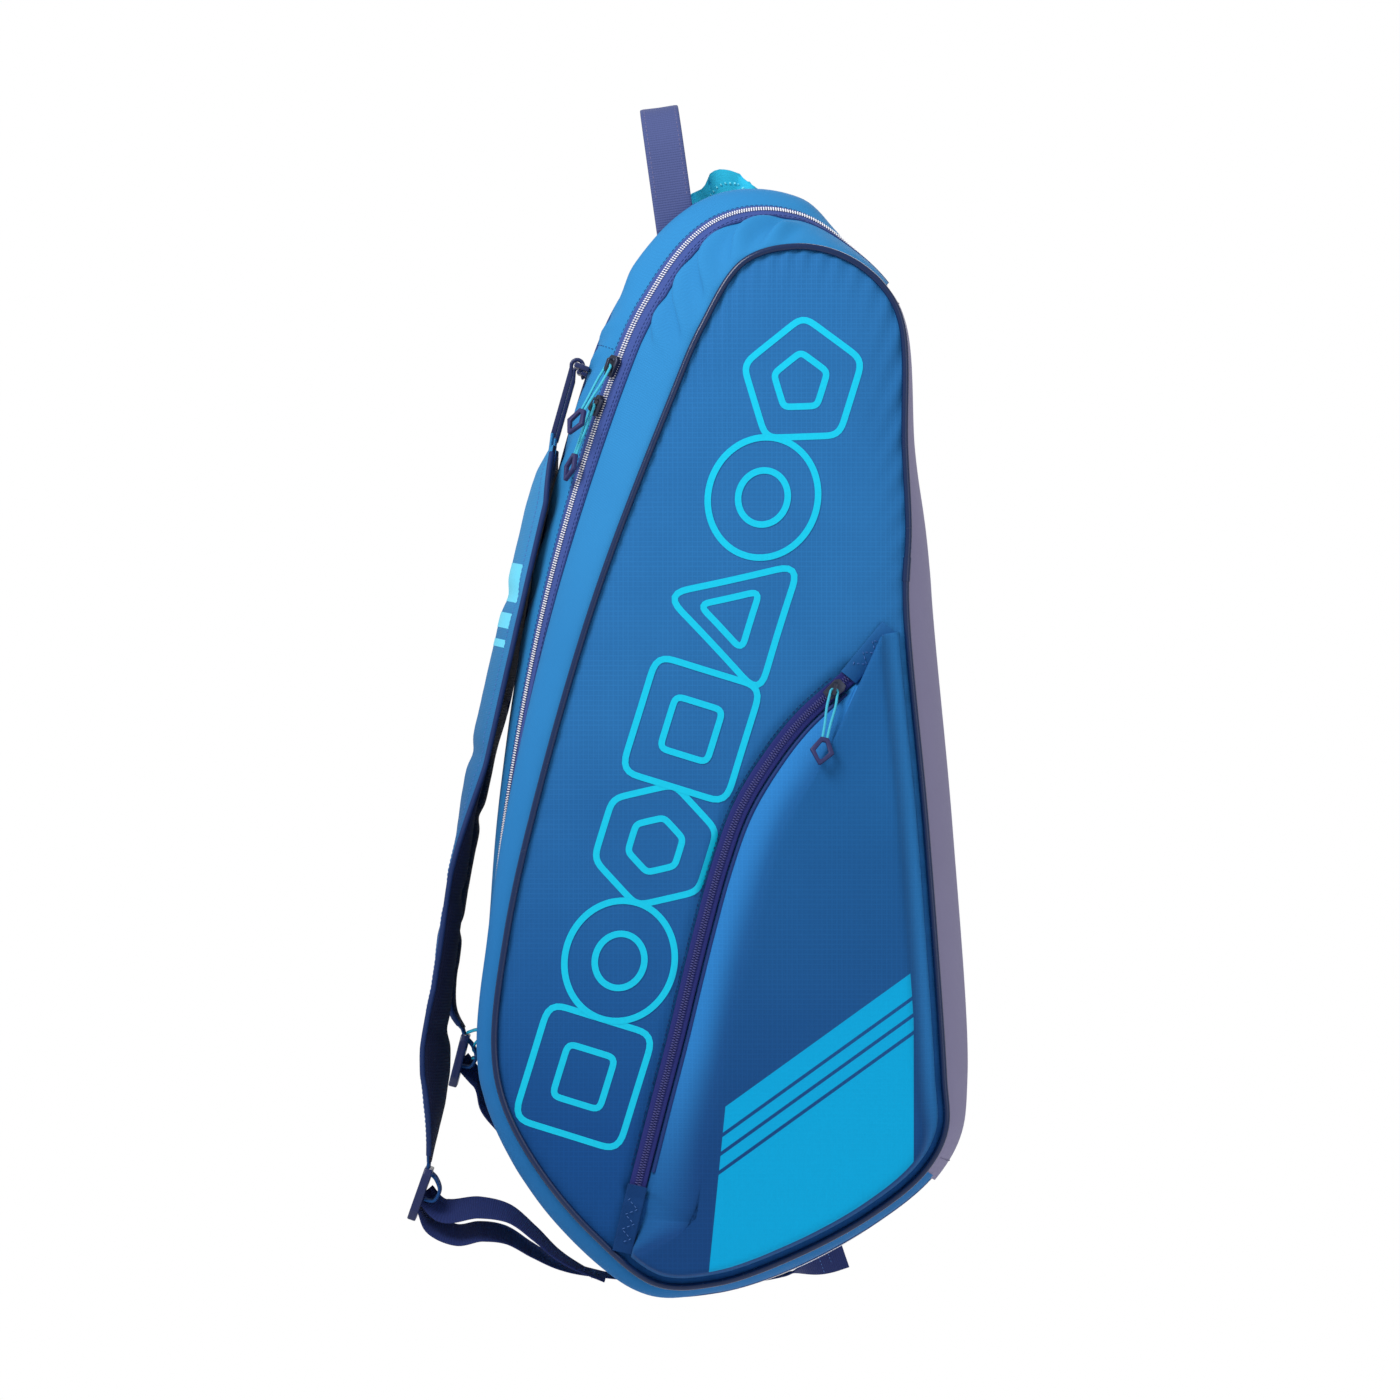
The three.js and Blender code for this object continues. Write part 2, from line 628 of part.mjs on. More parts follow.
// The pocket's pull leans out far enough to lie on the moulded panel beside it.
function pocketPullLift() {
    const crownHeight = GAP + POCKET_ZIP_T + SLIDER_LIFT + CORD_HEIGHT;
    const restHeight = POCKET_PROUD + TAB_T + TAB_CLEAR;
    return Math.asin((restHeight - crownHeight) / (CORD_LENGTH + TAB_LENGTH / 2));
}

function addPocketSlider(name, side) {
    const out = new THREE.Vector3(0, side, 0);
    const pathAt = (t) => pocketZipPath.getPoint(t).setY(side * (HALF_DEPTH + GAP + POCKET_ZIP_T));
    const [from, to] = [pathAt(POCKET_PARK), pathAt(POCKET_TRAVEL_END)];
    const centre = circleThrough(from, pathAt((POCKET_PARK + POCKET_TRAVEL_END) / 2), to);
    const run = pocketZipPath.getTangent(POCKET_PARK);
    const direction = new THREE.Vector3(-Math.sin(PULL_LEAN), 0, -Math.cos(PULL_LEAN));
    const turn = side * Math.asin(run.clone().cross(direction).y);
    const crown = addSlider(`${name}_pocket`, from, run, out, turn);
    const pull = addPull(`${name}_pocket`, crown, direction, out, pocketPullLift());
    joints[`${name}_pocket`] = { centre, turn: turnBetween(centre, from, to), ...pull };
}

// The gear compartment's slider waits at the spine end of its open mouth.
function addGearSlider() {
    const { flare, outX, outZ } = station(GEAR_PARK);
    const foot = at(GEAR_PARK, flare - VALLEY + WALL, 0);
    const out = new THREE.Vector3(outX, 0, outZ);
    addSlider('gear', foot, new THREE.Vector3(-outZ, 0, outX), out);
}

// ---------------------------------------------------------------- grab handle

const HANDLE_PLACE = 23.88;

function addHandle() {
    const { flare, outX, outZ } = station(HANDLE_PLACE);
    const seat = at(HANDLE_PLACE, flare, 0);
    const out = new THREE.Vector3(outX, 0, outZ);
    const slope = new THREE.Vector3(-outZ, 0, outX);
    const yWay = new THREE.Vector3(0, 1, 0);
    for (const [name, side] of [['near', -1], ['far', 1]]) {
        const patch = new THREE.BoxGeometry(HANDLE_WIDTH + 6, 14, WALL);
        const foot = seat.clone().addScaledVector(out, WALL / 2 + 2 * GAP);
        foot.y = side * (HANDLE_HALF_SPAN + 2);
        addPiece(`${name}_handle_patch`, placeLocal(patch, foot, slope, yWay, out), FINISH.webbing);
    }
    const hinge = seat.clone().addScaledVector(out, WALL + HANDLE_ROOM);
    const up = new THREE.Vector3(-Math.sin(HANDLE_LEAN), 0, Math.cos(HANDLE_LEAN));
    const across = new THREE.Vector3(Math.cos(HANDLE_LEAN), 0, Math.sin(HANDLE_LEAN));
    const arch = new THREE.CatmullRomCurve3([
        [-1, -0.2], [-1.02, 0.35], [-0.93, 0.72], [-0.62, 0.95], [0, 1],
        [0.62, 0.95], [0.93, 0.72], [1.02, 0.35], [1, -0.2],
    ].map(([y, z]) => hinge.clone()
        .addScaledVector(up, z * HANDLE_HEIGHT)
        .add(new THREE.Vector3(0, y * HANDLE_HALF_SPAN, 0))));
    const strap = ribbon(arch, 24, () => HANDLE_WIDTH, () => HANDLE_T, () => across);
    const block = new THREE.BoxGeometry(3 * HANDLE_HEIGHT, 4 * HANDLE_HALF_SPAN, HANDLE_HEIGHT);
    const below = hinge.clone().addScaledVector(out, -HANDLE_HEIGHT / 2);
    const legs = cut(strap, placeLocal(block, below, slope, yWay, out));
    addPiece('grab_handle', legs, FINISH.handle);
    const hang = hinge.clone().addScaledVector(up, HANDLE_HEIGHT - HANDLE_T / 2);
    joints.handle = { hinge, hang };
    return hang;
}

// ---------------------------------------------------------------- shoulder straps

const ANCHOR_PLACE = 22.0;

// Each strap's run beside the bag: outline place, and how far it hangs clear of the gusset.
const STRAP_RUN = {
    near: [[21.57, 9.6], [21.4, 10.4], [21.15, 10.4], [20.85, 10.8], [20.55, 12.3], [20.15, 16.4],
        [19.78, 20.3], [19.38, 23.8], [18.8, 28.5], [18.25, 32], [17.35, 40], [16.68, 57.9]],
    far: [[21.57, 9.6], [21.4, 10.4], [21.15, 10.4], [20.85, 10.8], [20.55, 12.3], [20.15, 14.9],
        [19.78, 17.6], [19.38, 20.5], [18.8, 23.3], [18.35, 22], [18.07, 19]],
};

// A point beside the bag: a place on the outline and a distance clear of the gusset's crest.
function beside([place, clear], y) {
    return at(place, station(place).flare + clear, y);
}

const LOCK_LENGTH = 38;
const LOCK_WIDTH = 34;
const LOCK_T = 6;

function addStrap(name, side) {
    const centreY = side * STRAP_Y;
    const bar = beside([ANCHOR_PLACE, HOOK_OUT], centreY);
    const { outX, outZ } = station(ANCHOR_PLACE);
    const out = new THREE.Vector3(outX, 0, outZ);
    const run = new THREE.Vector3(-outZ, 0, outX);
    const yWay = new THREE.Vector3(0, 1, 0);

    // Anchor ring: a flat D whose outer bar runs across the bag.
    const halfRing = 14;
    const post = HOOK_OUT - 2 * GAP;
    const ring = plate([
        new THREE.Vector2(-halfRing, -post), new THREE.Vector2(halfRing, -post),
        new THREE.Vector2(halfRing, HOOK_BAR_R), new THREE.Vector2(-halfRing, HOOK_BAR_R),
    ], 2 * HOOK_BAR_R, [[
        new THREE.Vector2(-halfRing + 3, -post + 2), new THREE.Vector2(halfRing - 3, -post + 2),
        new THREE.Vector2(halfRing - 3, -HOOK_BAR_R), new THREE.Vector2(-halfRing + 3, -HOOK_BAR_R),
    ]]);
    ring.translate(0, 0, -HOOK_BAR_R);
    addPiece(`${name}_strap_anchor`, placeLocal(ring, bar, yWay, out, run), FINISH.plastic);

    const points = STRAP_RUN[name].map((spot) => beside(spot, centreY));
    const path = new THREE.CatmullRomCurve3(points);
    const top = points[0];

    // Hook: an open jaw round the anchor's bar, and a shank down to the strap.
    const down = top.clone().sub(bar).normalize();
    const away = new THREE.Vector3().crossVectors(yWay, down);
    const inner = HOOK_BAR_R * 1.42 + GAP;
    const outer = inner + 2.6;
    const jaw = [];
    for (let degrees = -60; degrees <= 210; degrees += 30) jaw.push(degrees * Math.PI / 180);
    const shank = top.distanceTo(bar) - STRAP_T / 2;
    const arc = (radius, angles) => angles.map((angle) => new THREE.Vector2(
        -radius * Math.cos(angle), -radius * Math.sin(angle)));
    const profile = [
        ...arc(outer, jaw), new THREE.Vector2(outer * 0.75, shank),
        new THREE.Vector2(outer * 0.1, shank), new THREE.Vector2(outer * 0.2, inner + 5),
        ...arc(inner, [...jaw].reverse()),
    ];
    const hook = plate(profile, 10).translate(0, 0, -5);
    const hookPlace = placeLocal(hook, bar, away, down, yWay);
    addPiece(`${name}_strap_hook`, hookPlace, FINISH.plastic);

    const full = (t) => Math.min(1, t / 0.12, (1 - t) / 0.16);
    const width = (t) => STRAP_NECK + (STRAP_WIDTH - STRAP_NECK) * Math.sin(full(t) * Math.PI / 2);
    const thickness = (t) => WEBBING_T + 1 + (STRAP_T - WEBBING_T - 1) * Math.min(1, full(t) * 2);
    const pad = ribbon(path, 24, width, thickness, () => yWay);
    addPiece(`${name}_shoulder_strap`, pad, FINISH.strap);

    const foot = points.at(-1);
    const tilt = lockTilt[name];
    const lockDown = new THREE.Vector3(-Math.sin(tilt), 0, -Math.cos(tilt));
    const lockOut = new THREE.Vector3().crossVectors(yWay, lockDown);
    const pin = foot.clone().addScaledVector(path.getTangent(1), 7);
    const half = LOCK_WIDTH / 2;
    const slot = (from, to) => [
        new THREE.Vector2(-half + 4, from), new THREE.Vector2(half - 4, from),
        new THREE.Vector2(half - 4, to), new THREE.Vector2(-half + 4, to),
    ];
    const frame = plate([
        new THREE.Vector2(-half + 2, -3), new THREE.Vector2(half - 2, -3),
        new THREE.Vector2(half, 2), new THREE.Vector2(half, LOCK_LENGTH - 10),
        new THREE.Vector2(half - 5, LOCK_LENGTH - 3), new THREE.Vector2(-half + 5, LOCK_LENGTH - 3),
        new THREE.Vector2(-half, LOCK_LENGTH - 10), new THREE.Vector2(-half, 2),
    ], LOCK_T, [slot(3, 9), slot(13, 20)]);
    frame.translate(0, 0, -LOCK_T / 2);
    addPiece(`${name}_ladder_lock`, placeLocal(frame, pin, yWay, lockDown, lockOut), FINISH.plastic);
    joints[`${name}_strap`] = { bar, pin };
    return { pin, lockDown };
}

const lockTilt = { near: 0.34, far: 0.25 };

// ---------------------------------------------------------------- lower webbing

const WEBBING_RUN = {
    near: [[16.17, 60], [15.98, 36], [15.76, 21.5], [15.42, 15.3], [15.11, 13.5], [14.79, 12],
        [14.49, 11]],
    far: [[17.33, 9.6], [16.97, 10.7], [16.64, 12.1], [16.27, 13.2], [15.88, 13.8], [15.5, 12.3],
        [15.14, 10]],
};
const TAIL_RUN = [
    [16.13, 74, -44], [15.89, 62.5, -42], [15.77, 46, -38], [15.6, 34.5, -32], [15.31, 27.4, -24],
    [15.01, 21.5, -15], [14.64, 14.2, -7], [14.13, 1.2, -1], [13.26, -2.5, 0], [12.59, 1, 0],
    [12.08, 5.2, 0], [11.52, 9.6, 0],
];

function addWebbing(name, side) {
    const centre = side * (STRAP_Y + 2);
    const path = new THREE.CatmullRomCurve3(WEBBING_RUN[name].map((spot) => beside(spot, centre)));
    const lean = (t) => new THREE.Vector3(0, 1, 0.9 * (1 - t));
    const band = ribbon(path, 18, () => WEBBING_WIDTH, () => WEBBING_T, lean);
    addPiece(`${name}_lower_webbing`, band, FINISH.webbing);
}

function addTail() {
    const points = TAIL_RUN.map(([place, clear, y]) => beside([place, clear], y));
    const path = new THREE.CatmullRomCurve3(points);
    const lean = (t) => new THREE.Vector3(0, 1, 0.8 * Math.max(0, 1 - 2 * t));
    const band = ribbon(path, 30, () => WEBBING_WIDTH, () => WEBBING_T, lean);
    addPiece('webbing_tail', band, FINISH.webbing);
}

// ---------------------------------------------------------------- the whole bag

addMiddle();
for (const [name, side] of [['near', -1], ['far', 1]]) {
    addCompartment(name, side);
    addPocket(name, side);
    addMainSliders(name, side);
    addPocketSlider(name, side);
    addStrap(name, side);
    addWebbing(name, side);
}
addGearSlider();
addTail();
const hang = addHandle();
joints.hingeTop = at(HINGE_TOP_PLACE, HINGE_OUT, 0);
joints.hingeFoot = at(HINGE_FOOT_PLACE, HINGE_OUT, 0);
bag.position.set(-hang.x, 0, -hang.z);
bag.userData.joints = joints;      // places and turns of the moving parts, for whoever hinges them

export default bag;
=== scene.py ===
"""Racket tournament bag: two clamshell compartments, an open gear compartment between them,
moulded side pockets, backpack straps and a grab handle.

Shapes are laid out in bag millimetres, with Z = 0 at the foot of the bag, and each mesh is
moved to the frame, in metres, as it is made.
"""

import json
import logging
import math
from collections.abc import Callable, Sequence
from dataclasses import dataclass
from enum import Enum

import bmesh
import bpy
import numpy as np
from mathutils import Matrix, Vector, noise


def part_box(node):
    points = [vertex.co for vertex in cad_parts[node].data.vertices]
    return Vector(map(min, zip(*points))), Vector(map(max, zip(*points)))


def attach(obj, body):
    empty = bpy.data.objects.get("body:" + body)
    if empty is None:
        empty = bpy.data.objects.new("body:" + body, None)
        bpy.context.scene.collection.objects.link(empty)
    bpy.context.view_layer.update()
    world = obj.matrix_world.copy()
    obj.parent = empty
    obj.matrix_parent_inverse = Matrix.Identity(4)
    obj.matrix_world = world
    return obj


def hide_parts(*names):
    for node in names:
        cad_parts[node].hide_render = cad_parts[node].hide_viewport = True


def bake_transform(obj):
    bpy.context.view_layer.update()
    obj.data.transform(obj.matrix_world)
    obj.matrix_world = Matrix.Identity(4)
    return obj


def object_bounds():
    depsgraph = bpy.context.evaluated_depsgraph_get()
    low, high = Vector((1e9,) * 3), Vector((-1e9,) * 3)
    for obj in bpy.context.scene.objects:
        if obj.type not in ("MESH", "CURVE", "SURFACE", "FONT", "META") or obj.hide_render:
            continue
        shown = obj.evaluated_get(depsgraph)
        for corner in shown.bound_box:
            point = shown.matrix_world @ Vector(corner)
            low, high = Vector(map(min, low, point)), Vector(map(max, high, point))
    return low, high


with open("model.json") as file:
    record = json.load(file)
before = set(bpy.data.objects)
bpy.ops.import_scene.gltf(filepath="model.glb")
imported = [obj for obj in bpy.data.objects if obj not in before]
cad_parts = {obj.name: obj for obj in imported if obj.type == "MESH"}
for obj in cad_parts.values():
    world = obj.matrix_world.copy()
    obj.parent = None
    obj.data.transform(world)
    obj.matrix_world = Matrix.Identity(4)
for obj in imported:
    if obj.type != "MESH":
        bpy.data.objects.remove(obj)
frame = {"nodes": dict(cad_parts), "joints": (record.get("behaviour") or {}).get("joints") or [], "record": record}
CAD_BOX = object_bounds()

log = logging.getLogger("bag")

MM = 0.001
Array = np.ndarray
Colour = tuple[float, float, float, float]


# ---------------------------------------------------------------- sizes shared by the sub-assemblies

FACE_WIDTH = 309.0
FACE_HEIGHT = 714.0
FACE_FOOT = 7.0
FACE_LEFT = -0.456 * FACE_WIDTH
HALF_DEPTH = 118.0
CREST_Y = 45.0
BULGE = 5.0
FLARE_FULL = 61.0
WALL = 3.0
GAP = 0.4
PIPING_R = 2.4
ZIP_Y = 80.0
TAPE_WIDTH = 9.0
DIVIDER_Y = 36.0
DIVIDER_T = 4.5
VALLEY = 18.0
LID_EDGE = HALF_DEPTH - PIPING_R - GAP
FRONT_SEAM = ZIP_Y + TAPE_WIDTH + GAP
REAR_SEAM = ZIP_Y - TAPE_WIDTH - GAP
POCKET_PROUD = 21.0
POCKET_ZIP_WIDTH = 12.0
STRAP_Y = 44.0
STRAP_WIDTH = 60.0
STRAP_NECK = 27.0
STRAP_T = 11.0
WEBBING_WIDTH = 25.0
WEBBING_T = 1.8
POCKET_MOUNT_AT = (90.0, 190.0)      # where the pocket's flat mount lies on the face, X and Z

# Outline of the face panel, clockwise from the top: shares across and up the face, and the
# gusset's outward flare.
OUTLINE = (
    (0.667, 1.000, 34), (0.783, 0.989, 9), (0.862, 0.962, 2), (0.903, 0.927, 2),
    (0.911, 0.808, 6), (0.919, 0.728, 10), (0.913, 0.661, 17), (0.958, 0.440, 17),
    (0.997, 0.204, 15), (1.000, 0.151, 9), (0.955, 0.113, 8), (0.835, 0.070, 8),
    (0.657, 0.029, 10), (0.489, 0.004, 8), (0.359, 0.004, 8), (0.223, 0.050, 15),
    (0.100, 0.113, 13), (0.023, 0.175, 9), (0.000, 0.230, 8), (0.029, 0.343, 12),
    (0.091, 0.464, 25), (0.225, 0.664, 45.5), (0.392, 0.854, 61), (0.460, 0.923, 60),
    (0.552, 0.985, 50),
)
TURN = len(OUTLINE)
SHOULDER = 2.0                       # outline places where the spine panel starts and ends
HEEL = 10.0
WRAP = TURN + SHOULDER
MOUTH_START = TURN - 0.85
TOP_PLACE = 25.12                    # highest and lowest places of the face panel
FOOT_PLACE = 13.5
HANDLE_PLACE = 23.88


class Side(Enum):
    """Which of the bag's two mirrored halves a piece belongs to."""

    NEAR = -1
    FAR = 1

    @property
    def label(self) -> str:
        """The word that starts the names of this side's pieces."""
        return self.name.lower()


def bag_origin() -> Array:
    """Where the bag's own origin lies in the frame, in millimetres, from the pocket's mount."""
    mounts = {mount["name"]: mount for mount in frame["record"]["mounts"]}
    point = np.array(mounts["near_pocket_flat"]["pos_m"], float) / MM
    return np.array([point[0] - POCKET_MOUNT_AT[0], 0.0, point[2] - POCKET_MOUNT_AT[1]])


ORIGIN = bag_origin()


def to_bag(point: Sequence[float]) -> Array:
    """A frame point in metres as bag millimetres."""
    return np.array(point, float) / MM - ORIGIN


def to_frame(points: Array) -> Array:
    """Bag millimetres as frame points in metres."""
    return (np.asarray(points, float) + ORIGIN) * MM


def unit(vectors: Array) -> Array:
    """Vectors made one unit long."""
    vectors = np.asarray(vectors, float)
    return vectors / np.maximum(np.linalg.norm(vectors, axis=-1, keepdims=True), 1e-9)


def smooth_step(values: Array, start: float, end: float) -> Array:
    """Rises smoothly from 0 at start to 1 at end."""
    share = np.clip((np.asarray(values, float) - start) / (end - start), 0, 1)
    return share * share * (3 - 2 * share)


def window(values: Array, start: float, end: float, fade: float) -> Array:
    """1 between start and end, fading out over a distance past each."""
    rising = smooth_step(values, start - fade, start)
    return rising * (1 - smooth_step(values, end, end + fade))


def cloud(points: Array, size: float, seed: float) -> Array:
    """Smooth noise between about -1 and 1 at points, with lumps of a size in millimetres."""
    flat = np.asarray(points, float).reshape(-1, 3) / size
    values = [noise.noise(Vector((x + seed, y - seed, z + 2 * seed))) for x, y, z in flat]
    return np.array(values).reshape(np.shape(points)[:-1])


def catmull(controls: Array, places: Array, closed: bool = False, even: bool = True) -> Array:
    """Points of a centripetal spline through control points; place 2 is control point 2.

    Args:
        controls: The points that the curve passes through.
        places: Where along the curve to read it, counted in control points.
        closed: Whether the last point runs on into the first.
        even: Whether the knots follow the spacing of the points.

    Returns:
        One point for each place.
    """
    controls = np.asarray(controls, float)
    count = len(controls)
    if closed:
        padded = np.vstack([controls[-1:], controls, controls[:2]])
        places = np.mod(places, count)
    else:
        first = 2 * controls[0] - controls[1]
        last = 2 * controls[-1] - controls[-2]
        padded = np.vstack([first, controls, last])
        places = np.clip(places, 0, count - 1 - 1e-9)
    start = np.floor(places).astype(int)
    share = (places - start)[..., None]
    p0, p1, p2, p3 = (padded[start + step] for step in range(4))

    def knot(a: Array, b: Array) -> Array:
        """The knot spacing between two points."""
        span = np.sqrt(np.linalg.norm(b - a, axis=-1, keepdims=True))
        return np.maximum(span, 1e-4) if even else np.ones_like(span)

    d0, d1, d2 = knot(p0, p1), knot(p1, p2), knot(p2, p3)
    t1 = d1 * ((p1 - p0) / d0 - (p2 - p0) / (d0 + d1) + (p2 - p1) / d1)
    t2 = d1 * ((p2 - p1) / d1 - (p3 - p1) / (d1 + d2) + (p3 - p2) / d2)
    c2 = -3 * p1 + 3 * p2 - 2 * t1 - t2
    c3 = 2 * p1 - 2 * p2 + t1 + t2
    return p1 + share * (t1 + share * (c2 + share * c3))


def lengths(points: Array) -> Array:
    """Distance along a row of points, starting from 0."""
    return np.concatenate([[0], np.cumsum(np.linalg.norm(np.diff(points, axis=0), axis=1))])


def read_row(at: Array, run: Array, points: Array) -> Array:
    """Points read at distances along a row of them, whose own distances are run."""
    return np.stack([np.interp(at, run, points[:, k]) for k in range(3)], axis=1)


def spaced(start: float, end: float, pitch: float, locate: Callable[[Array], Array]) -> Array:
    """Places between two ends whose points lie a pitch apart along the curve."""
    trial = np.linspace(start, end, 900)
    run = lengths(locate(trial))
    count = max(2, round(run[-1] / pitch) + 1)
    return np.interp(np.linspace(0, run[-1], count), run, trial)


# ---------------------------------------------------------------- outline of the bag

@dataclass(frozen=True)
class Outline:
    """The bag's side outline, and the gusset's flare along it."""

    shares: tuple[tuple[float, float, float], ...] = OUTLINE

    def read(self, place: Array) -> tuple[Array, Array, Array]:
        """X, Z and flare at places."""
        shares = np.array(self.shares)
        x = FACE_LEFT + shares[:, 0] * FACE_WIDTH
        z = FACE_FOOT + shares[:, 1] * FACE_HEIGHT
        found = catmull(np.column_stack([x, z, shares[:, 2]]), np.asarray(place, float), closed=True)
        return found[..., 0], found[..., 1], found[..., 2]

    def outward(self, place: Array) -> Array:
        """The direction away from the bag, as X and Z."""
        step = 0.05
        ax, az, _ = self.read(np.asarray(place, float) - step)
        bx, bz, _ = self.read(np.asarray(place, float) + step)
        return unit(np.stack([az - bz, bx - ax], axis=-1))

    def flare(self, place: Array) -> Array:
        """How far the gusset stands outside the piping line at places."""
        return self.read(place)[2]

    def at(self, place: Array, offset: Array, y: Array) -> Array:
        """Points a distance outside the outline, at a depth."""
        place, offset, y = np.broadcast_arrays(np.asarray(place, float), offset, y)
        x, z, _ = self.read(place)
        out = self.outward(place)
        return np.stack([x + out[..., 0] * offset, y, z + out[..., 1] * offset], axis=-1)

    def line(self, place: Array) -> Array:
        """Points of the piping line, in the bag's middle plane."""
        return self.at(place, 0 * place, 0 * place)

    def crest(self, place: Array) -> Array:
        """Points of the gusset's crest, in the bag's middle plane."""
        return self.at(place, self.flare(place), 0 * place)

    def gusset(self, place: Array, y: Array) -> Array:
        """How far outside the piping line the gusset lies at places and depths."""
        flare = self.flare(place)
        share = np.minimum(1, (HALF_DEPTH - np.abs(y)) / (HALF_DEPTH - CREST_Y))
        rounding = BULGE * (1 - flare / FLARE_FULL)
        return flare * np.sin(share * math.pi / 2) + rounding * np.sin(share * math.pi)

    def edge_distance(self, x: Array, z: Array) -> Array:
        """Distance from points of the face to the piping line."""
        ring = np.linspace(0, TURN, 700, endpoint=False)
        ex, ez, _ = self.read(ring)
        shape = np.shape(x)
        dx = np.ravel(x)[:, None] - ex
        dz = np.ravel(z)[:, None] - ez
        return np.sqrt((dx * dx + dz * dz).min(axis=1)).reshape(shape)


BAG = Outline()


# ---------------------------------------------------------------- mesh making

class Layout(Enum):
    """How a loft's weave coordinates run."""

    ALONG = "along the loft and round its section"
    FLAT = "straight across the face, X and Z"


def as_object(name: str, mesh: bpy.types.Mesh) -> bpy.types.Object:
    """Puts a mesh in the scene under its piece name."""
    made = bpy.data.objects.new(name, mesh)
    bpy.context.scene.collection.objects.link(made)
    return made


def loft(name: str, rings: Array, *, closed: bool = False, layout: Layout = Layout.ALONG,
         extra: dict[str, Array] | None = None) -> bpy.types.Object:
    """Skins a row of sections into one closed body.

    Args:
        name: The piece's name.
        rings: Sections in bag millimetres, as rows x section points x 3.
        closed: Whether the last section joins the first, rather than each end being capped.
        layout: How the weave coordinates run, in millimetres.
        extra: Named numbers to keep at each point, as rows x section points.

    Returns:
        The piece, in the frame.
    """
    rows, size, _ = rings.shape
    last = rows if closed else rows - 1
    i, j = (a.ravel() for a in np.meshgrid(np.arange(last), np.arange(size), indexing="ij"))
    i2, j2 = (i + 1) % rows, (j + 1) % size
    quads = np.stack([i * size + j, i2 * size + j, i2 * size + j2, i * size + j2], axis=1)
    faces = quads.tolist()
    if not closed:
        faces.append(list(range(size)))
        faces.append(list(range((rows - 1) * size, rows * size))[::-1])
    mesh = bpy.data.meshes.new(name)
    mesh.from_pydata(to_frame(rings.reshape(-1, 3)).tolist(), [], faces)
    mesh.uv_layers.new(name="Weave")
    if layout is Layout.ALONG:
        run = np.linalg.norm(np.diff(rings, axis=0, append=rings[:1]), axis=2).mean(axis=1)
        along = np.concatenate([[0], np.cumsum(run)])
        middle = rings[rows // 2]
        around = np.linalg.norm(np.roll(middle, -1, axis=0) - middle, axis=1)
        across = np.concatenate([[0], np.cumsum(around)])
        corners = [(along[i], across[j]), (along[i + 1], across[j]),
                   (along[i + 1], across[j + 1]), (along[i], across[j + 1])]
        uv = np.stack([np.stack(c, axis=1) for c in corners], axis=1).reshape(-1, 2)
        if not closed:
            ends = np.concatenate([rings[0][:, [0, 2]], rings[-1][::-1][:, [0, 2]]])
            uv = np.vstack([uv, ends])
    else:
        flat = rings.reshape(-1, 3)[:, [0, 2]]
        order = np.concatenate([quads.ravel(), *(np.array(f) for f in faces[len(quads):])])
        uv = flat[order]
    mesh.uv_layers["Weave"].data.foreach_set("uv", uv.astype(np.float32).ravel())
    for label, values in (extra or {}).items():
        attribute = mesh.attributes.new(label, "FLOAT", "POINT")
        attribute.data.foreach_set("value", np.asarray(values, np.float32).ravel())
    finish_mesh(mesh)
    return as_object(name, mesh)


def shell(name: str, outer: Array, inner: Array, *, layout: Layout = Layout.ALONG,
          lined: bool = False) -> bpy.types.Object:
    """Skins the two faces of a cloth or board into one closed body.

    Args:
        name: The piece's name.
        outer: The outer face, as rows x points x 3, in bag millimetres.
        inner: The inner face, its points in the same order.
        layout: How the weave coordinates run.
        lined: Whether the inner face shows its finish's inner colour.

    Returns:
        The piece, in the frame.
    """
    inside = np.concatenate([np.zeros(outer.shape[:2]), np.ones(inner.shape[:2])], axis=1)
    rings = np.concatenate([outer, inner[:, ::-1]], axis=1)
    return loft(name, rings, layout=layout, extra={"inside": inside} if lined else None)


def finish_mesh(mesh: bpy.types.Mesh) -> None:
    """Merges doubled points, turns the faces outwards and shades them smooth."""
    work = bmesh.new()
    work.from_mesh(mesh)
    bmesh.ops.remove_doubles(work, verts=work.verts, dist=1e-6)
    bmesh.ops.recalc_face_normals(work, faces=work.faces)
    work.to_mesh(mesh)
    work.free()
    mesh.shade_smooth()
    mesh.set_sharp_from_angle(angle=math.radians(55))


def band(path: Array, side_way: Array, width: Array, thickness: Array, *,
         corner: float = 0.5, points: int = 20, arch: float = 0.0) -> Array:
    """Sections of a flat band along a path, with rounded edges.

    Args:
        path: Points along the band's middle.
        side_way: The direction of the band's width at each point.
        width: The band's width at each point.
        thickness: Its thickness at each point.
        corner: How round the edges are, from 0, square, to 1, elliptic.
        points: Points in each half of the section.
        arch: How far the band's two edges drop below its middle.

    Returns:
        Sections for loft, each starting at an edge and running over the outer side.
    """
    forward = unit(np.gradient(path, axis=0))
    side = unit(side_way - (side_way * forward).sum(axis=1, keepdims=True) * forward)
    out = np.cross(forward, side)
    angle = np.linspace(0, 2 * math.pi, 2 * points, endpoint=False)
    power = 0.25 + 0.75 * corner
    across = np.sign(np.cos(angle)) * np.abs(np.cos(angle)) ** power
    lift = np.sign(np.sin(angle)) * np.abs(np.sin(angle)) ** power
    width = np.broadcast_to(width, len(path))[:, None] / 2
    thickness = np.broadcast_to(thickness, len(path))[:, None] / 2
    sag = arch * (across ** 2 - 0.35)
    return (path[:, None] + side[:, None] * (width * across)[..., None]
            + out[:, None] * (thickness * lift - sag)[..., None])


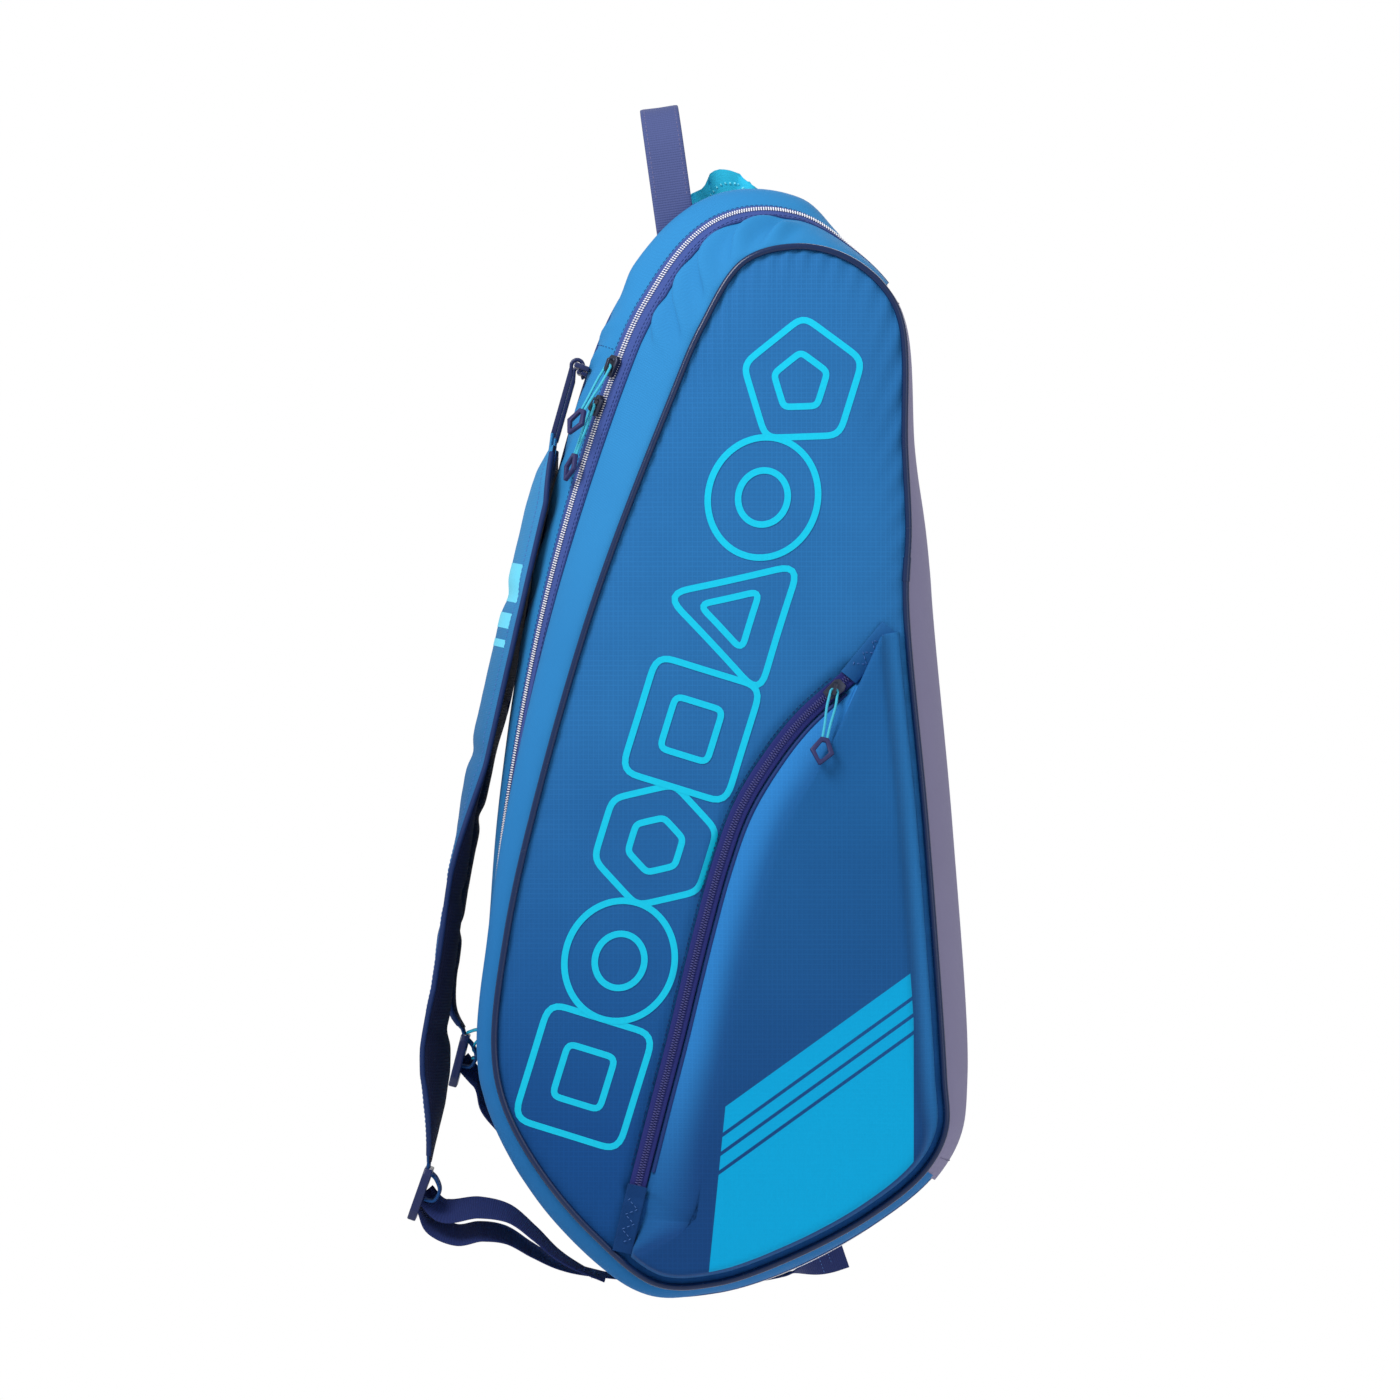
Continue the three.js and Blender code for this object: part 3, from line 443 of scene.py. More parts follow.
def curve_object(name: str, points: Array, closed: bool = False) -> bpy.types.Object:
    """A plain curve through points in bag millimetres."""
    data = bpy.data.curves.new(name, "CURVE")
    data.dimensions = "3D"
    line = data.splines.new("POLY")
    line.points.add(len(points) - 1)
    placed = np.column_stack([to_frame(points), np.ones(len(points))])
    line.points.foreach_set("co", placed.astype(np.float32).ravel())
    line.use_cyclic_u = closed
    made = bpy.data.objects.new(name, data)
    bpy.context.scene.collection.objects.link(made)
    return made


def join_meshes(name: str, pieces: Sequence[bpy.types.Object]) -> bpy.types.Object:
    """Makes one piece of several meshes that belong together."""
    with bpy.context.temp_override(
            active_object=pieces[0], selected_editable_objects=list(pieces)):
        bpy.ops.object.join()
    pieces[0].name = name
    return pieces[0]


# ---------------------------------------------------------------- node trees

class Flow:
    """A socket whose arithmetic adds Math nodes to its tree."""

    def __init__(self, nodes: "Nodes", socket: bpy.types.NodeSocket) -> None:
        """Wraps one output socket."""
        self.nodes = nodes
        self.socket = socket

    def math(self, operation: str, *others: "Flow | float") -> "Flow":
        """One Math node on this socket and others."""
        values = dict(enumerate((self, *others)))
        return self.nodes.add("ShaderNodeMath", {"operation": operation}, values)["Value"]

    def __add__(self, other: "Flow | float") -> "Flow":
        """Sum."""
        return self.math("ADD", other)

    __radd__ = __add__

    def __sub__(self, other: "Flow | float") -> "Flow":
        """Difference."""
        return self.math("SUBTRACT", other)

    def __rsub__(self, other: float) -> "Flow":
        """Difference from a number."""
        return self * -1.0 + other

    def __mul__(self, other: "Flow | float") -> "Flow":
        """Product."""
        return self.math("MULTIPLY", other)

    __rmul__ = __mul__

    def __truediv__(self, other: float) -> "Flow":
        """Quotient."""
        return self.math("DIVIDE", other)

    def __gt__(self, other: "Flow | float") -> "Flow":
        """1 where this is greater."""
        return self.math("GREATER_THAN", other)

    def sin(self) -> "Flow":
        """Sine."""
        return self.math("SINE")

    def size(self) -> "Flow":
        """Absolute value."""
        return self.math("ABSOLUTE")

    def power(self, exponent: float) -> "Flow":
        """This raised to a power."""
        return self.math("POWER", exponent)

    def limit(self) -> "Flow":
        """This kept between 0 and 1."""
        return self.math("MINIMUM", 1.0).math("MAXIMUM", 0.0)

    def both(self, other: "Flow | float") -> "Flow":
        """The smaller of two."""
        return self.math("MINIMUM", other)

    def either(self, other: "Flow | float") -> "Flow":
        """The greater of the two."""
        return self.math("MAXIMUM", other)


class Nodes:
    """A node tree that is filled by name."""

    def __init__(self, tree: bpy.types.NodeTree) -> None:
        """Starts from an empty tree."""
        self.tree = tree
        tree.nodes.clear()

    def add(self, kind: str, settings: dict[str, object] | None = None,
            sockets: dict[str | int, object] | None = None) -> "Outputs":
        """Adds one node.

        Args:
            kind: The node's type.
            settings: Its properties, set before its sockets.
            sockets: Values or links of its inputs, by name or place.

        Returns:
            The node's outputs by name.
        """
        made = self.tree.nodes.new(kind)
        for key, value in (settings or {}).items():
            setattr(made, key, value)
        for key, value in (sockets or {}).items():
            target = made.inputs[key]
            if isinstance(value, Flow):
                self.tree.links.new(value.socket, target)
            else:
                target.default_value = value
        return Outputs(self, made)

    def mix(self, share: Flow | float, first: Flow | Colour, second: Flow | Colour) -> Flow:
        """A colour between two others."""
        made = self.add("ShaderNodeMix", {"data_type": "RGBA"}, {0: share, 6: first, 7: second})
        return Flow(self, made.node.outputs[2])

    def noise(self, where: Flow, scale: float, detail: float = 3.0, roughness: float = 0.55) -> Flow:
        """Cloudy noise from 0 to 1."""
        return self.add("ShaderNodeTexNoise", None, {
            "Vector": where, "Scale": scale, "Detail": detail, "Roughness": roughness})["Fac"]


class Outputs:
    """A node's outputs, read by name."""

    def __init__(self, nodes: Nodes, node: bpy.types.Node) -> None:
        """Wraps one node."""
        self.nodes = nodes
        self.node = node

    def __getitem__(self, name: str) -> Flow:
        """One output socket."""
        return Flow(self.nodes, self.node.outputs[name])


# ---------------------------------------------------------------- finishes

def srgb(red: int, green: int, blue: int) -> Colour:
    """A colour given from 0 to 255, as the shader's linear numbers."""
    def linear(level: float) -> float:
        """One channel."""
        return level / 12.92 if level <= 0.04045 else ((level + 0.055) / 1.055) ** 2.4

    return (linear(red / 255), linear(green / 255), linear(blue / 255), 1.0)


def darker(colour: Colour, share: float) -> Colour:
    """A colour with a share of its brightness left."""
    return (colour[0] * share, colour[1] * share, colour[2] * share, 1.0)


def start_material(name: str) -> tuple[bpy.types.Material, Nodes]:
    """A new material and its empty tree."""
    material = bpy.data.materials.new(name)
    material.use_nodes = True
    return material, Nodes(material.node_tree)


def end_material(nodes: Nodes, height: Flow, relief: float, reach: float,
                 sockets: dict[str, object]) -> None:
    """Ends a tree with a bump and its shader.

    Args:
        nodes: The material's tree.
        height: Height of the surface's relief.
        relief: The bump's strength.
        reach: How deep the relief is, in millimetres.
        sockets: Values or links of the shader's other inputs.
    """
    bump = nodes.add("ShaderNodeBump", None, {
        "Strength": relief, "Distance": reach * MM, "Height": height})["Normal"]
    shader = nodes.add("ShaderNodeBsdfPrincipled", None, {**sockets, "Normal": bump})["BSDF"]
    nodes.add("ShaderNodeOutputMaterial", None, {"Surface": shader})


class Weave(Enum):
    """How a cloth's threads cross."""

    OXFORD = "basket weave"
    RIPSTOP = "plain weave with a grid of thicker threads"
    TWILL = "diagonal ribs"
    GROSGRAIN = "ribs across the band"
    NET = "open mesh"
    SMOOTH = "close plain weave"


NAVY = srgb(24, 30, 58)
WHITE = (1.0, 1.0, 1.0, 1.0)
LINING = srgb(36, 128, 160)
SCUFFED = srgb(120, 124, 150)


@dataclass(frozen=True)
class Cloth:
    """A woven finish whose pattern follows the piece's weave coordinates, in millimetres."""

    name: str
    colour: Colour
    weave: Weave
    pitch: float = 0.9
    shade: float = 0.72              # brightness left between the threads
    roughness: float = 0.75
    sheen: float = 0.03
    cloudiness: float = 0.18         # how much the dye varies
    relief: float = 0.5
    lining: Colour = LINING          # colour of the inside where a piece has one, and the painted highlight of the pocket's bevels
    grid: float = 5.0                # spacing of a ripstop's thicker threads
    upper: Colour | None = None      # lighter colour painted towards the top of the bag as painted light, where a finish has one
    fade: tuple[float, float] = (170.0, 540.0)       # heights between which the painted light comes in

    def dyed(self, nodes: Nodes, height: Flow, place: Flow) -> Flow:
        """The threads' colour, painted lighter up the bag as painted light where the finish has an upper colour.
        """
        dye_and_painted_light = nodes.mix(height.limit(), darker(self.colour, self.shade), self.colour)
        if not self.upper:
            return dye_and_painted_light
        # Painted light: the colour fades to the lighter upper colour between these heights, as though lit from
        # above.
        low, high = (float(to_frame(np.array([0.0, 0.0, level]))[2]) for level in self.fade)
        level = nodes.add("ShaderNodeSeparateXYZ", None, {"Vector": place})["Z"]
        top = nodes.mix(height.limit(), darker(self.upper, self.shade), self.upper)
        return nodes.mix(((level - low) / (high - low)).limit(), dye_and_painted_light, top)

    def print_on(self, nodes: Nodes, u: Flow, v: Flow, height: Flow, cloth: Flow) -> Flow:
        """The cloth's colour with anything printed on it: a plain cloth has nothing."""
        return cloth

    def threads(self, nodes: Nodes, u: Flow, v: Flow) -> Flow:
        """Height of the threads, from 0 between them to 1 on top."""
        half_turn = math.pi / self.pitch
        warp = (u * half_turn).sin()
        weft = (v * half_turn).sin()
        over = warp * weft > 0.0
        plain = over * warp.size() + (1.0 - over) * weft.size()
        if self.weave is Weave.TWILL:
            return ((u + v * 0.8) * (2 * half_turn)).sin() * 0.35 + plain * 0.3 + 0.35
        if self.weave is Weave.GROSGRAIN:
            return warp.size() * 0.8 + weft.size() * 0.2
        if self.weave is Weave.NET:
            return 1.0 - (warp.size() * weft.size()).power(1.5)
        if self.weave is Weave.RIPSTOP:
            thick = 0.93
            lines_u = ((u * (math.pi / self.grid)).sin().size() - thick) / (1 - thick)
            lines_v = ((v * (math.pi / self.grid)).sin().size() - thick) / (1 - thick)
            return (plain * 0.5 + 0.1).either(lines_u.either(lines_v).limit() * 0.9)
        return plain

    def make(self) -> bpy.types.Material:
        """Builds the material."""
        material, nodes = start_material(self.name)
        weave = nodes.add("ShaderNodeUVMap", {"uv_map": "Weave"})["UV"]
        split = nodes.add("ShaderNodeSeparateXYZ", None, {"Vector": weave})
        place = nodes.add("ShaderNodeTexCoord")["Object"]
        height = self.threads(nodes, split["X"], split["Y"])
        broad = nodes.noise(place, 9.0, 4.0)
        grain = nodes.noise(place, 420.0, 2.0)
        # Thread colour with painted light: lighter towards the top of the bag.
        dye_and_painted_light = self.dyed(nodes, height, place)
        deep = nodes.mix(((broad - 0.5) * (2 * self.cloudiness) + 0.35).limit(),
                         dye_and_painted_light, darker(self.colour, 0.62))
        inside = nodes.add("ShaderNodeAttribute", {"attribute_name": "inside"})["Fac"]
        # The inside share picks the second colour: the lining on inner faces, and a painted highlight on the
        # pocket's bevels.
        lined = nodes.mix(inside, deep, nodes.mix(height.limit(), darker(self.lining, 0.8), self.lining))
        colour = self.print_on(nodes, split["X"], split["Y"], height, lined)
        speck = (grain - 0.5) * 0.12
        rough = (speck + (broad - 0.5) * 0.16 + self.roughness).limit()
        end_material(nodes, height + grain * 0.5, self.relief, 0.25, {
            "Base Color": colour, "Roughness": rough, "Sheen Weight": self.sheen,
            "Sheen Roughness": 0.45, "Specular IOR Level": 0.1})
        return material


@dataclass(frozen=True)
class PrintedCloth(Cloth):
    """A cloth with a printed corner field, its top edge on a slant and crossed by pinstripes."""

    ink: Colour = srgb(0, 150, 200)
    left: float = 4.0                # field's left edge at the foot of the bag
    right: float = 146.0
    top: float = 120.0               # height of its slanting top edge at the bag's middle
    slope: float = 0.72
    stripes: tuple[float, ...] = (102.0, 90.0, 78.0)
    stripe_half: float = 1.3

    def print_on(self, nodes: Nodes, u: Flow, v: Flow, height: Flow, cloth: Flow) -> Flow:
        """The cloth's colour, or the ink's inside the field where the piece is raised."""
        raised = nodes.add("ShaderNodeAttribute", {"attribute_name": "raised"})["Fac"]
        slant = v - u * self.slope
        inside = (self.top - slant).both(u - v * 0.1 - self.left).both(self.right - u).both(raised)
        for middle in self.stripes:
            inside = inside.both((slant - middle).size() - self.stripe_half)
        inked = nodes.mix(height.limit() * 0.35, self.ink, darker(self.ink, 1.15))
        return nodes.mix((inside * 4.0).limit(), cloth, inked)


@dataclass(frozen=True)
class Solid:
    """A moulded, metal, cast or inked finish, patterned in the piece's own place."""

    name: str
    colour: Colour
    roughness: float = 0.4
    metal: float = 0.0
    coat: float = 0.0
    grain: float = 260.0             # fineness of the surface's texture
    relief: float = 0.15
    scuff: float = 0.25              # how far worn patches lighten
    scuffed: Colour = SCUFFED
    shine: float = 0.2

    def make(self) -> bpy.types.Material:
        """Builds the material."""
        material, nodes = start_material(self.name)
        place = nodes.add("ShaderNodeTexCoord")["Object"]
        fine = nodes.noise(place, self.grain, 3.0)
        broad = nodes.noise(place, 38.0, 4.0, 0.7)
        worn = ((broad - 0.62) * 4.0).limit() * self.scuff
        base = nodes.mix((fine - 0.35).limit() * 0.5, self.colour, darker(self.colour, 0.7))
        colour = nodes.mix(worn, base, self.scuffed)
        rough = ((fine - 0.5) * 0.2 + worn * 0.3 + self.roughness).limit()
        end_material(nodes, fine, self.relief, 0.2, {
            "Base Color": colour, "Roughness": rough, "Metallic": self.metal,
            "Coat Weight": self.coat, "Coat Roughness": 0.12, "Specular IOR Level": self.shine})
        return material


@dataclass(frozen=True)
class Braid:
    """A braided cord's finish: slanting strands, read in the piece's own place."""

    name: str
    colour: Colour
    pitch: float = 1.1

    def make(self) -> bpy.types.Material:
        """Builds the material."""
        material, nodes = start_material(self.name)
        place = nodes.add("ShaderNodeTexCoord")["Object"]
        split = nodes.add("ShaderNodeSeparateXYZ", None, {"Vector": place})
        turn = 2 * math.pi / (self.pitch * MM)
        one = ((split["X"] + split["Z"]) * turn).sin().size()
        other = ((split["Z"] - split["X"]) * turn).sin().size()
        strand = one.either(other)
        cloudy = nodes.noise(place, 160.0, 3.0)
        colour = nodes.mix((strand - 0.2).limit(), darker(self.colour, 0.5), self.colour)
        rough = (cloudy * 0.3 + 0.45).limit()
        end_material(nodes, strand, 0.6, 0.2, {
            "Base Color": colour, "Roughness": rough, "Sheen Weight": 0.2})
        return material


class Finish(Enum):
    """Every finish of the bag."""

    # Each cloth's upper colour and heights are painted light: the cloth is painted lighter towards the top of the
    # bag, as though lit from above.
    GUSSET = Cloth("gusset_cloth", srgb(36, 116, 182), Weave.TWILL, pitch=1.3, relief=0.45,
                   upper=srgb(50, 140, 200))
    FACE = Cloth("face_ripstop", srgb(20, 78, 144), Weave.RIPSTOP, pitch=1.1, grid=3.4, shade=0.66,
                 upper=srgb(46, 124, 188), fade=(110.0, 430.0))
    # Its second colour is a painted highlight on the moulded pocket's bevels.
    POCKET = PrintedCloth("pocket_ripstop", srgb(20, 70, 130), Weave.RIPSTOP, pitch=1.1, grid=3.4,
                          shade=0.66, lining=srgb(42, 122, 190), upper=srgb(32, 106, 170),
                          fade=(90.0, 330.0))
    SPINE = Cloth("spine_cloth", srgb(138, 134, 166), Weave.SMOOTH, pitch=0.8, shade=0.85, relief=0.3)
    LINING = Cloth("mouth_cloth", srgb(50, 198, 236), Weave.SMOOTH, pitch=0.7, shade=0.85, relief=0.3,
                   cloudiness=0.1)
    BOARD = Cloth("divider_cloth", srgb(28, 68, 120), Weave.TWILL, pitch=1.0)
    TAPE = Cloth("zip_tape_weave", srgb(66, 86, 152), Weave.GROSGRAIN, pitch=0.9, relief=0.6, sheen=0.0)
    POCKET_TAPE = Cloth("pocket_zip_tape", srgb(44, 50, 118), Weave.GROSGRAIN, pitch=0.9, relief=0.6,
                        sheen=0.0)
    STRAP = Cloth("strap_cloth", srgb(28, 74, 134), Weave.OXFORD, pitch=1.2, lining=NAVY,
                  upper=srgb(66, 152, 208), fade=(210.0, 500.0))
    STRAP_NET = Cloth("strap_net", srgb(30, 36, 66), Weave.NET, pitch=2.2, shade=0.3, relief=0.9,
                      lining=NAVY)
    WEBBING = Cloth("webbing_weave", srgb(38, 50, 102), Weave.GROSGRAIN, pitch=1.5, relief=0.9, sheen=0.03)
    GARAGE = Cloth("garage_cloth", srgb(18, 62, 118), Weave.TWILL, pitch=1.1, relief=0.5,
                   upper=srgb(40, 112, 176))
    HANDLE = Cloth("handle_weave", srgb(78, 88, 136), Weave.GROSGRAIN, pitch=1.7, relief=0.9,
                   lining=srgb(50, 56, 104))
    PIPING = Solid("piping_vinyl", srgb(10, 34, 74), 0.24, relief=0.05, scuff=0.0, shine=0.35)
    COIL = Solid("zip_coil", srgb(226, 226, 232), 0.3, scuff=0.0, relief=0.05, shine=0.5)
    POCKET_COIL = Solid("pocket_zip_coil", srgb(66, 68, 122), 0.3, scuff=0.0, relief=0.05)
    CYAN_COIL = Solid("gear_zip_coil", srgb(120, 222, 240), 0.35, scuff=0.0, relief=0.05)
    THREAD = Solid("thread", srgb(22, 48, 104), 0.6, scuff=0.0)
    PALE_THREAD = Solid("pale_thread", srgb(70, 108, 170), 0.6, scuff=0.0)
    WEBBING_EDGE = Solid("strap_binding_tape", srgb(22, 44, 92), 0.6, grain=700.0, relief=0.5, scuff=0.0)
    BINDING = Solid("board_binding_tape", srgb(28, 62, 118), 0.6, grain=700.0, relief=0.5, scuff=0.0)
    PATCH = Solid("patch_webbing", srgb(36, 84, 144), 0.65, grain=700.0, relief=0.6, scuff=0.1)
    GREY_THREAD = Solid("grey_thread", srgb(104, 100, 134), 0.6, scuff=0.0)
    METAL = Solid("gunmetal", srgb(62, 66, 82), 0.34, metal=0.85, scuff=0.35)
    TAB = Solid("pull_tab_moulding", srgb(44, 46, 90), 0.42, scuff=0.15)
    BUCKLE = Solid("buckle_moulding", srgb(30, 40, 82), 0.33, coat=0.2, scuff=0.2)
    INK = Solid("print_ink", srgb(0, 182, 214), 0.5, grain=500.0, relief=0.2, scuff=0.0)
    MARK_INK = Solid("strap_ink", srgb(96, 196, 224), 0.5, grain=500.0, relief=0.2, scuff=0.0)
    CORD = Braid("pull_cord_braid", srgb(40, 184, 212))
    FLOOR = Solid("studio_floor", srgb(244, 244, 246), 0.9, relief=0.0, scuff=0.0)

    @property
    def material(self) -> bpy.types.Material:
        """The finish's material, made the first time it is asked for."""
        found = bpy.data.materials.get(self.value.name)
        return found or self.value.make()


# ---------------------------------------------------------------- what repeats

def settle(carrier: bpy.types.Object, name: str) -> bpy.types.Object:
    """Turns what an object's modifiers make into a plain mesh, and removes the object."""
    bpy.context.view_layer.update()
    seen = carrier.evaluated_get(bpy.context.evaluated_depsgraph_get())
    mesh = bpy.data.meshes.new_from_object(seen)
    bpy.data.objects.remove(carrier)
    made = as_object(name, mesh)
    mesh.name = name
    mesh.shade_smooth()
    return made


class ShapeTree:
    """A Geometry Nodes tree with named inputs, which dresses what it makes of a carrier."""

    TITLE = "shape"
    INPUTS: tuple[tuple[str, str], ...] = ()

    def __init__(self) -> None:
        """Builds the tree once."""
        self.tree = bpy.data.node_groups.new(self.TITLE, "GeometryNodeTree")
        nodes = Nodes(self.tree)
        face = self.tree.interface
        face.new_socket("Geometry", in_out="INPUT", socket_type="NodeSocketGeometry")
        self.keys = {
            name: face.new_socket(name, in_out="INPUT", socket_type=kind).identifier
            for name, kind in (*self.INPUTS, ("Finish", "NodeSocketMaterial"))}
        face.new_socket("Geometry", in_out="OUTPUT", socket_type="NodeSocketGeometry")
        given = nodes.add("NodeGroupInput")
        real = nodes.add("GeometryNodeRealizeInstances", None, {
            "Geometry": self.shape(nodes, given)})["Geometry"]
        dressed = nodes.add("GeometryNodeSetMaterial", None, {
            "Geometry": real, "Material": given["Finish"]})["Geometry"]
        nodes.add("NodeGroupOutput", None, {"Geometry": dressed})

    def shape(self, nodes: Nodes, given: Outputs) -> Flow:
        """What the tree makes from its inputs."""
        raise NotImplementedError

    def grow(self, carrier: bpy.types.Object, name: str, finish: "Finish",
             values: dict[str, object]) -> bpy.types.Object:
        """Runs the tree on a carrier, which it uses up, and keeps the result as a plain mesh."""
        modifier = carrier.modifiers.new("grow", "NODES")
        modifier.node_group = self.tree
        for key, value in {**values, "Finish": finish.material}.items():
            modifier[self.keys[key]] = value
        return settle(carrier, name)


class Repeater(ShapeTree):
    """A Geometry Nodes tree that sets one small shape at every point of a mesh."""

    TITLE = "repeat_on_points"
    INPUTS = (
        ("Shape", "NodeSocketObject"), ("Size", "NodeSocketFloat"), ("Spread", "NodeSocketFloat"),
        ("Seed", "NodeSocketInt"),
    )

    def shape(self, nodes: Nodes, given: Outputs) -> Flow:
        """The small shape, turned and sized, at each point."""
        shape = nodes.add("GeometryNodeObjectInfo", None, {"Object": given["Shape"]})["Geometry"]
        ways = [nodes.add("GeometryNodeInputNamedAttribute", {"data_type": "FLOAT_VECTOR"},
                          {"Name": way})["Attribute"] for way in ("up", "run")]
        turn = nodes.add("FunctionNodeAxesToRotation", {"primary_axis": "Z", "secondary_axis": "X"},
                         {0: ways[0], 1: ways[1]})["Rotation"]
        low, high = (nodes.add("ShaderNodeMath", {"operation": operation},
                               {0: 1.0, 1: given["Spread"]})["Value"] for operation in ("SUBTRACT", "ADD"))
        varied = nodes.add("FunctionNodeRandomValue", {"data_type": "FLOAT"}, {
            2: low, 3: high, "Seed": given["Seed"]}).node.outputs[1]
        size = Flow(nodes, varied) * given["Size"]
        return nodes.add("GeometryNodeInstanceOnPoints", None, {
            "Points": given["Geometry"], "Instance": shape, "Rotation": turn, "Scale": size,
        })["Instances"]

    def run(self, name: str, points: Array, run: Array, up: Array, shape: bpy.types.Object,
            finish: Finish, *, size: float = 1.0, spread: float = 0.0, seed: int = 7,
            ) -> bpy.types.Object:
        """Sets a shape at points.

        Args:
            name: The piece's name.
            points: Places in bag millimetres.
            run: The way the shape's X points at each.
            up: The way its Z points at each.
            shape: The small shape, at the origin, in metres.
            finish: What it is made of.
            size: How large it is against its own size.
            spread: How much the size varies.
            seed: Fixes the variation.

        Returns:
            A plain mesh of all of them.
        """
        mesh = bpy.data.meshes.new(name)
        mesh.from_pydata(to_frame(points).tolist(), [], [])
        for label, ways in (("run", run), ("up", up)):
            attribute = mesh.attributes.new(label, "FLOAT_VECTOR", "POINT")
            ways = np.broadcast_to(ways, (len(points), 3))
            attribute.data.foreach_set("vector", unit(ways).astype(np.float32).ravel())
        carrier = as_object(name + "_points", mesh)
        return self.grow(carrier, name, finish, {
            "Shape": shape, "Size": size, "Spread": spread, "Seed": seed})


class Sweeper(ShapeTree):
    """A Geometry Nodes tree that runs a round section along a curve."""

    TITLE = "sweep_round"
    INPUTS = (("Radius", "NodeSocketFloat"), ("Sides", "NodeSocketInt"))

    def shape(self, nodes: Nodes, given: Outputs) -> Flow:
        """The tube, its ends filled."""
        section = nodes.add("GeometryNodeCurvePrimitiveCircle", None, {
            "Resolution": given["Sides"], "Radius": given["Radius"]})["Curve"]
        return nodes.add("GeometryNodeCurveToMesh", None, {
            "Curve": given["Geometry"], "Profile Curve": section, "Fill Caps": True})["Mesh"]

    def run(self, name: str, points: Array, radius: float, finish: Finish, *,
            sides: int = 12, closed: bool = False) -> bpy.types.Object:
        """A round tube along points, in bag millimetres, as a plain mesh."""
        carrier = curve_object(name + "_line", points, closed)
        made = self.grow(carrier, name, finish, {"Radius": radius * MM, "Sides": sides})
        work = bmesh.new()
        work.from_mesh(made.data)
        bmesh.ops.recalc_face_normals(work, faces=work.faces)
        work.to_mesh(made.data)
        work.free()
        return made


REPEAT = Repeater()
SWEEP = Sweeper()


def small_shape(name: str, half: tuple[float, float, float], rings: int = 3, sides: int = 8,
                fullness: float = 0.6) -> bpy.types.Object:
    """A small rounded bead along X for repeating, kept out of the scene.

    Args:
        name: The shape's name.
        half: Half its length, width and height, in millimetres.
        rings: Sections between its ends.
        sides: Points in a section.
        fullness: How blunt its ends are, from 0, pointed, to 1, square.

    Returns:
        The shape's object, in metres about the origin.
    """
    share = np.linspace(-1, 1, rings + 2)
    swell = (1 - np.abs(share) ** (2 + 6 * fullness)) ** 0.5
    swell[[0, -1]] = 0.0
    angle = np.linspace(0, 2 * math.pi, sides, endpoint=False)
    points = [(-half[0], 0.0, 0.0)]
    for x, s in zip(share[1:-1], swell[1:-1]):
        points += [(x * half[0], half[1] * s * math.cos(a), half[2] * s * math.sin(a)) for a in angle]
    points.append((half[0], 0.0, 0.0))
    faces = [(0, 1 + (j + 1) % sides, 1 + j) for j in range(sides)]
    for ring in range(rings - 1):
        start = 1 + ring * sides
        for j in range(sides):
            k = (j + 1) % sides
            faces.append((start + j, start + k, start + sides + k, start + sides + j))
    end = 1 + (rings - 1) * sides
    tip = len(points) - 1
    faces += [(end + j, end + (j + 1) % sides, tip) for j in range(sides)]
    mesh = bpy.data.meshes.new(name)
    mesh.from_pydata((np.array(points) * MM).tolist(), [], faces)
    return bpy.data.objects.new(name, mesh)


class Stitcher:
    """Sews rows of stitches along lines."""

    def __init__(self) -> None:
        """Makes the one stitch that all the rows repeat."""
        self.stitch = small_shape("stitch", (1.35, 0.28, 0.22), rings=2, sides=6)
        self.pitch = 3.4

    def sew(self, name: str, line: Array, up: Array, finish: Finish, lift: float = 0.15,
            ) -> bpy.types.Object:
        """One row of stitches.

        Args:
            name: The row's name.
            line: Points along the row, in bag millimetres.
            up: The way out of the cloth, one way or one at each point.
            finish: The thread.
            lift: How far the stitches stand off the line.

        Returns:
            The row as a mesh.
        """
        run = lengths(line)
        count = max(2, int(run[-1] / self.pitch))
        at = (np.arange(count) + 0.5) * run[-1] / count
        ups = np.broadcast_to(up, line.shape)
        spots = read_row(at, run, line)
        outs = unit(read_row(at, run, ups))
        ahead = read_row(at + 0.5, run, line)
        back = read_row(at - 0.5, run, line)
        return REPEAT.run(name, spots + outs * lift, ahead - back, outs, self.stitch, finish,
                          spread=0.08)


STITCHER = Stitcher()


# ---------------------------------------------------------------- fitting pieces to the bag

def dress(piece: bpy.types.Object, *finishes: Finish) -> bpy.types.Object:
    """Gives a piece its finishes in place of any others."""
    piece.data.materials.clear()
    for finish in finishes:
        piece.data.materials.append(finish.material)
    return piece


def fit(piece: bpy.types.Object, body: str, slot: str, *nodes: str) -> bpy.types.Object:
    """Makes a finished piece move with a body and stand for CAD nodes, and reports it."""
    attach(piece, body)
    if nodes:
        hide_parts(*nodes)
    log.info("%s rides on %s, %d faces", piece.name, body, len(piece.data.polygons)
             if piece.type == "MESH" else 0)
    return piece


def bend(piece: bpy.types.Object, slot: str, bodies: tuple[str, str], start: Array, end: Array,
         *nodes: str) -> None:
    """Bakes a finished piece's place into its mesh, hides the CAD nodes that it stands for, and reports it."""
    if nodes:
        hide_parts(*nodes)
    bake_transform(piece)
    log.info("%s bends between %s and %s", piece.name, *bodies)


@dataclass
class SidePart:
    """A sub-assembly of one half of the bag."""

    side: Side

    def name(self, piece: str) -> str:
        """A piece's full name."""
        return f"{self.side.label}_{piece}"

    @property
    def lid(self) -> str:
        """The body that the opening half rides on."""
        return self.name("lid")


# ---------------------------------------------------------------- the compartments

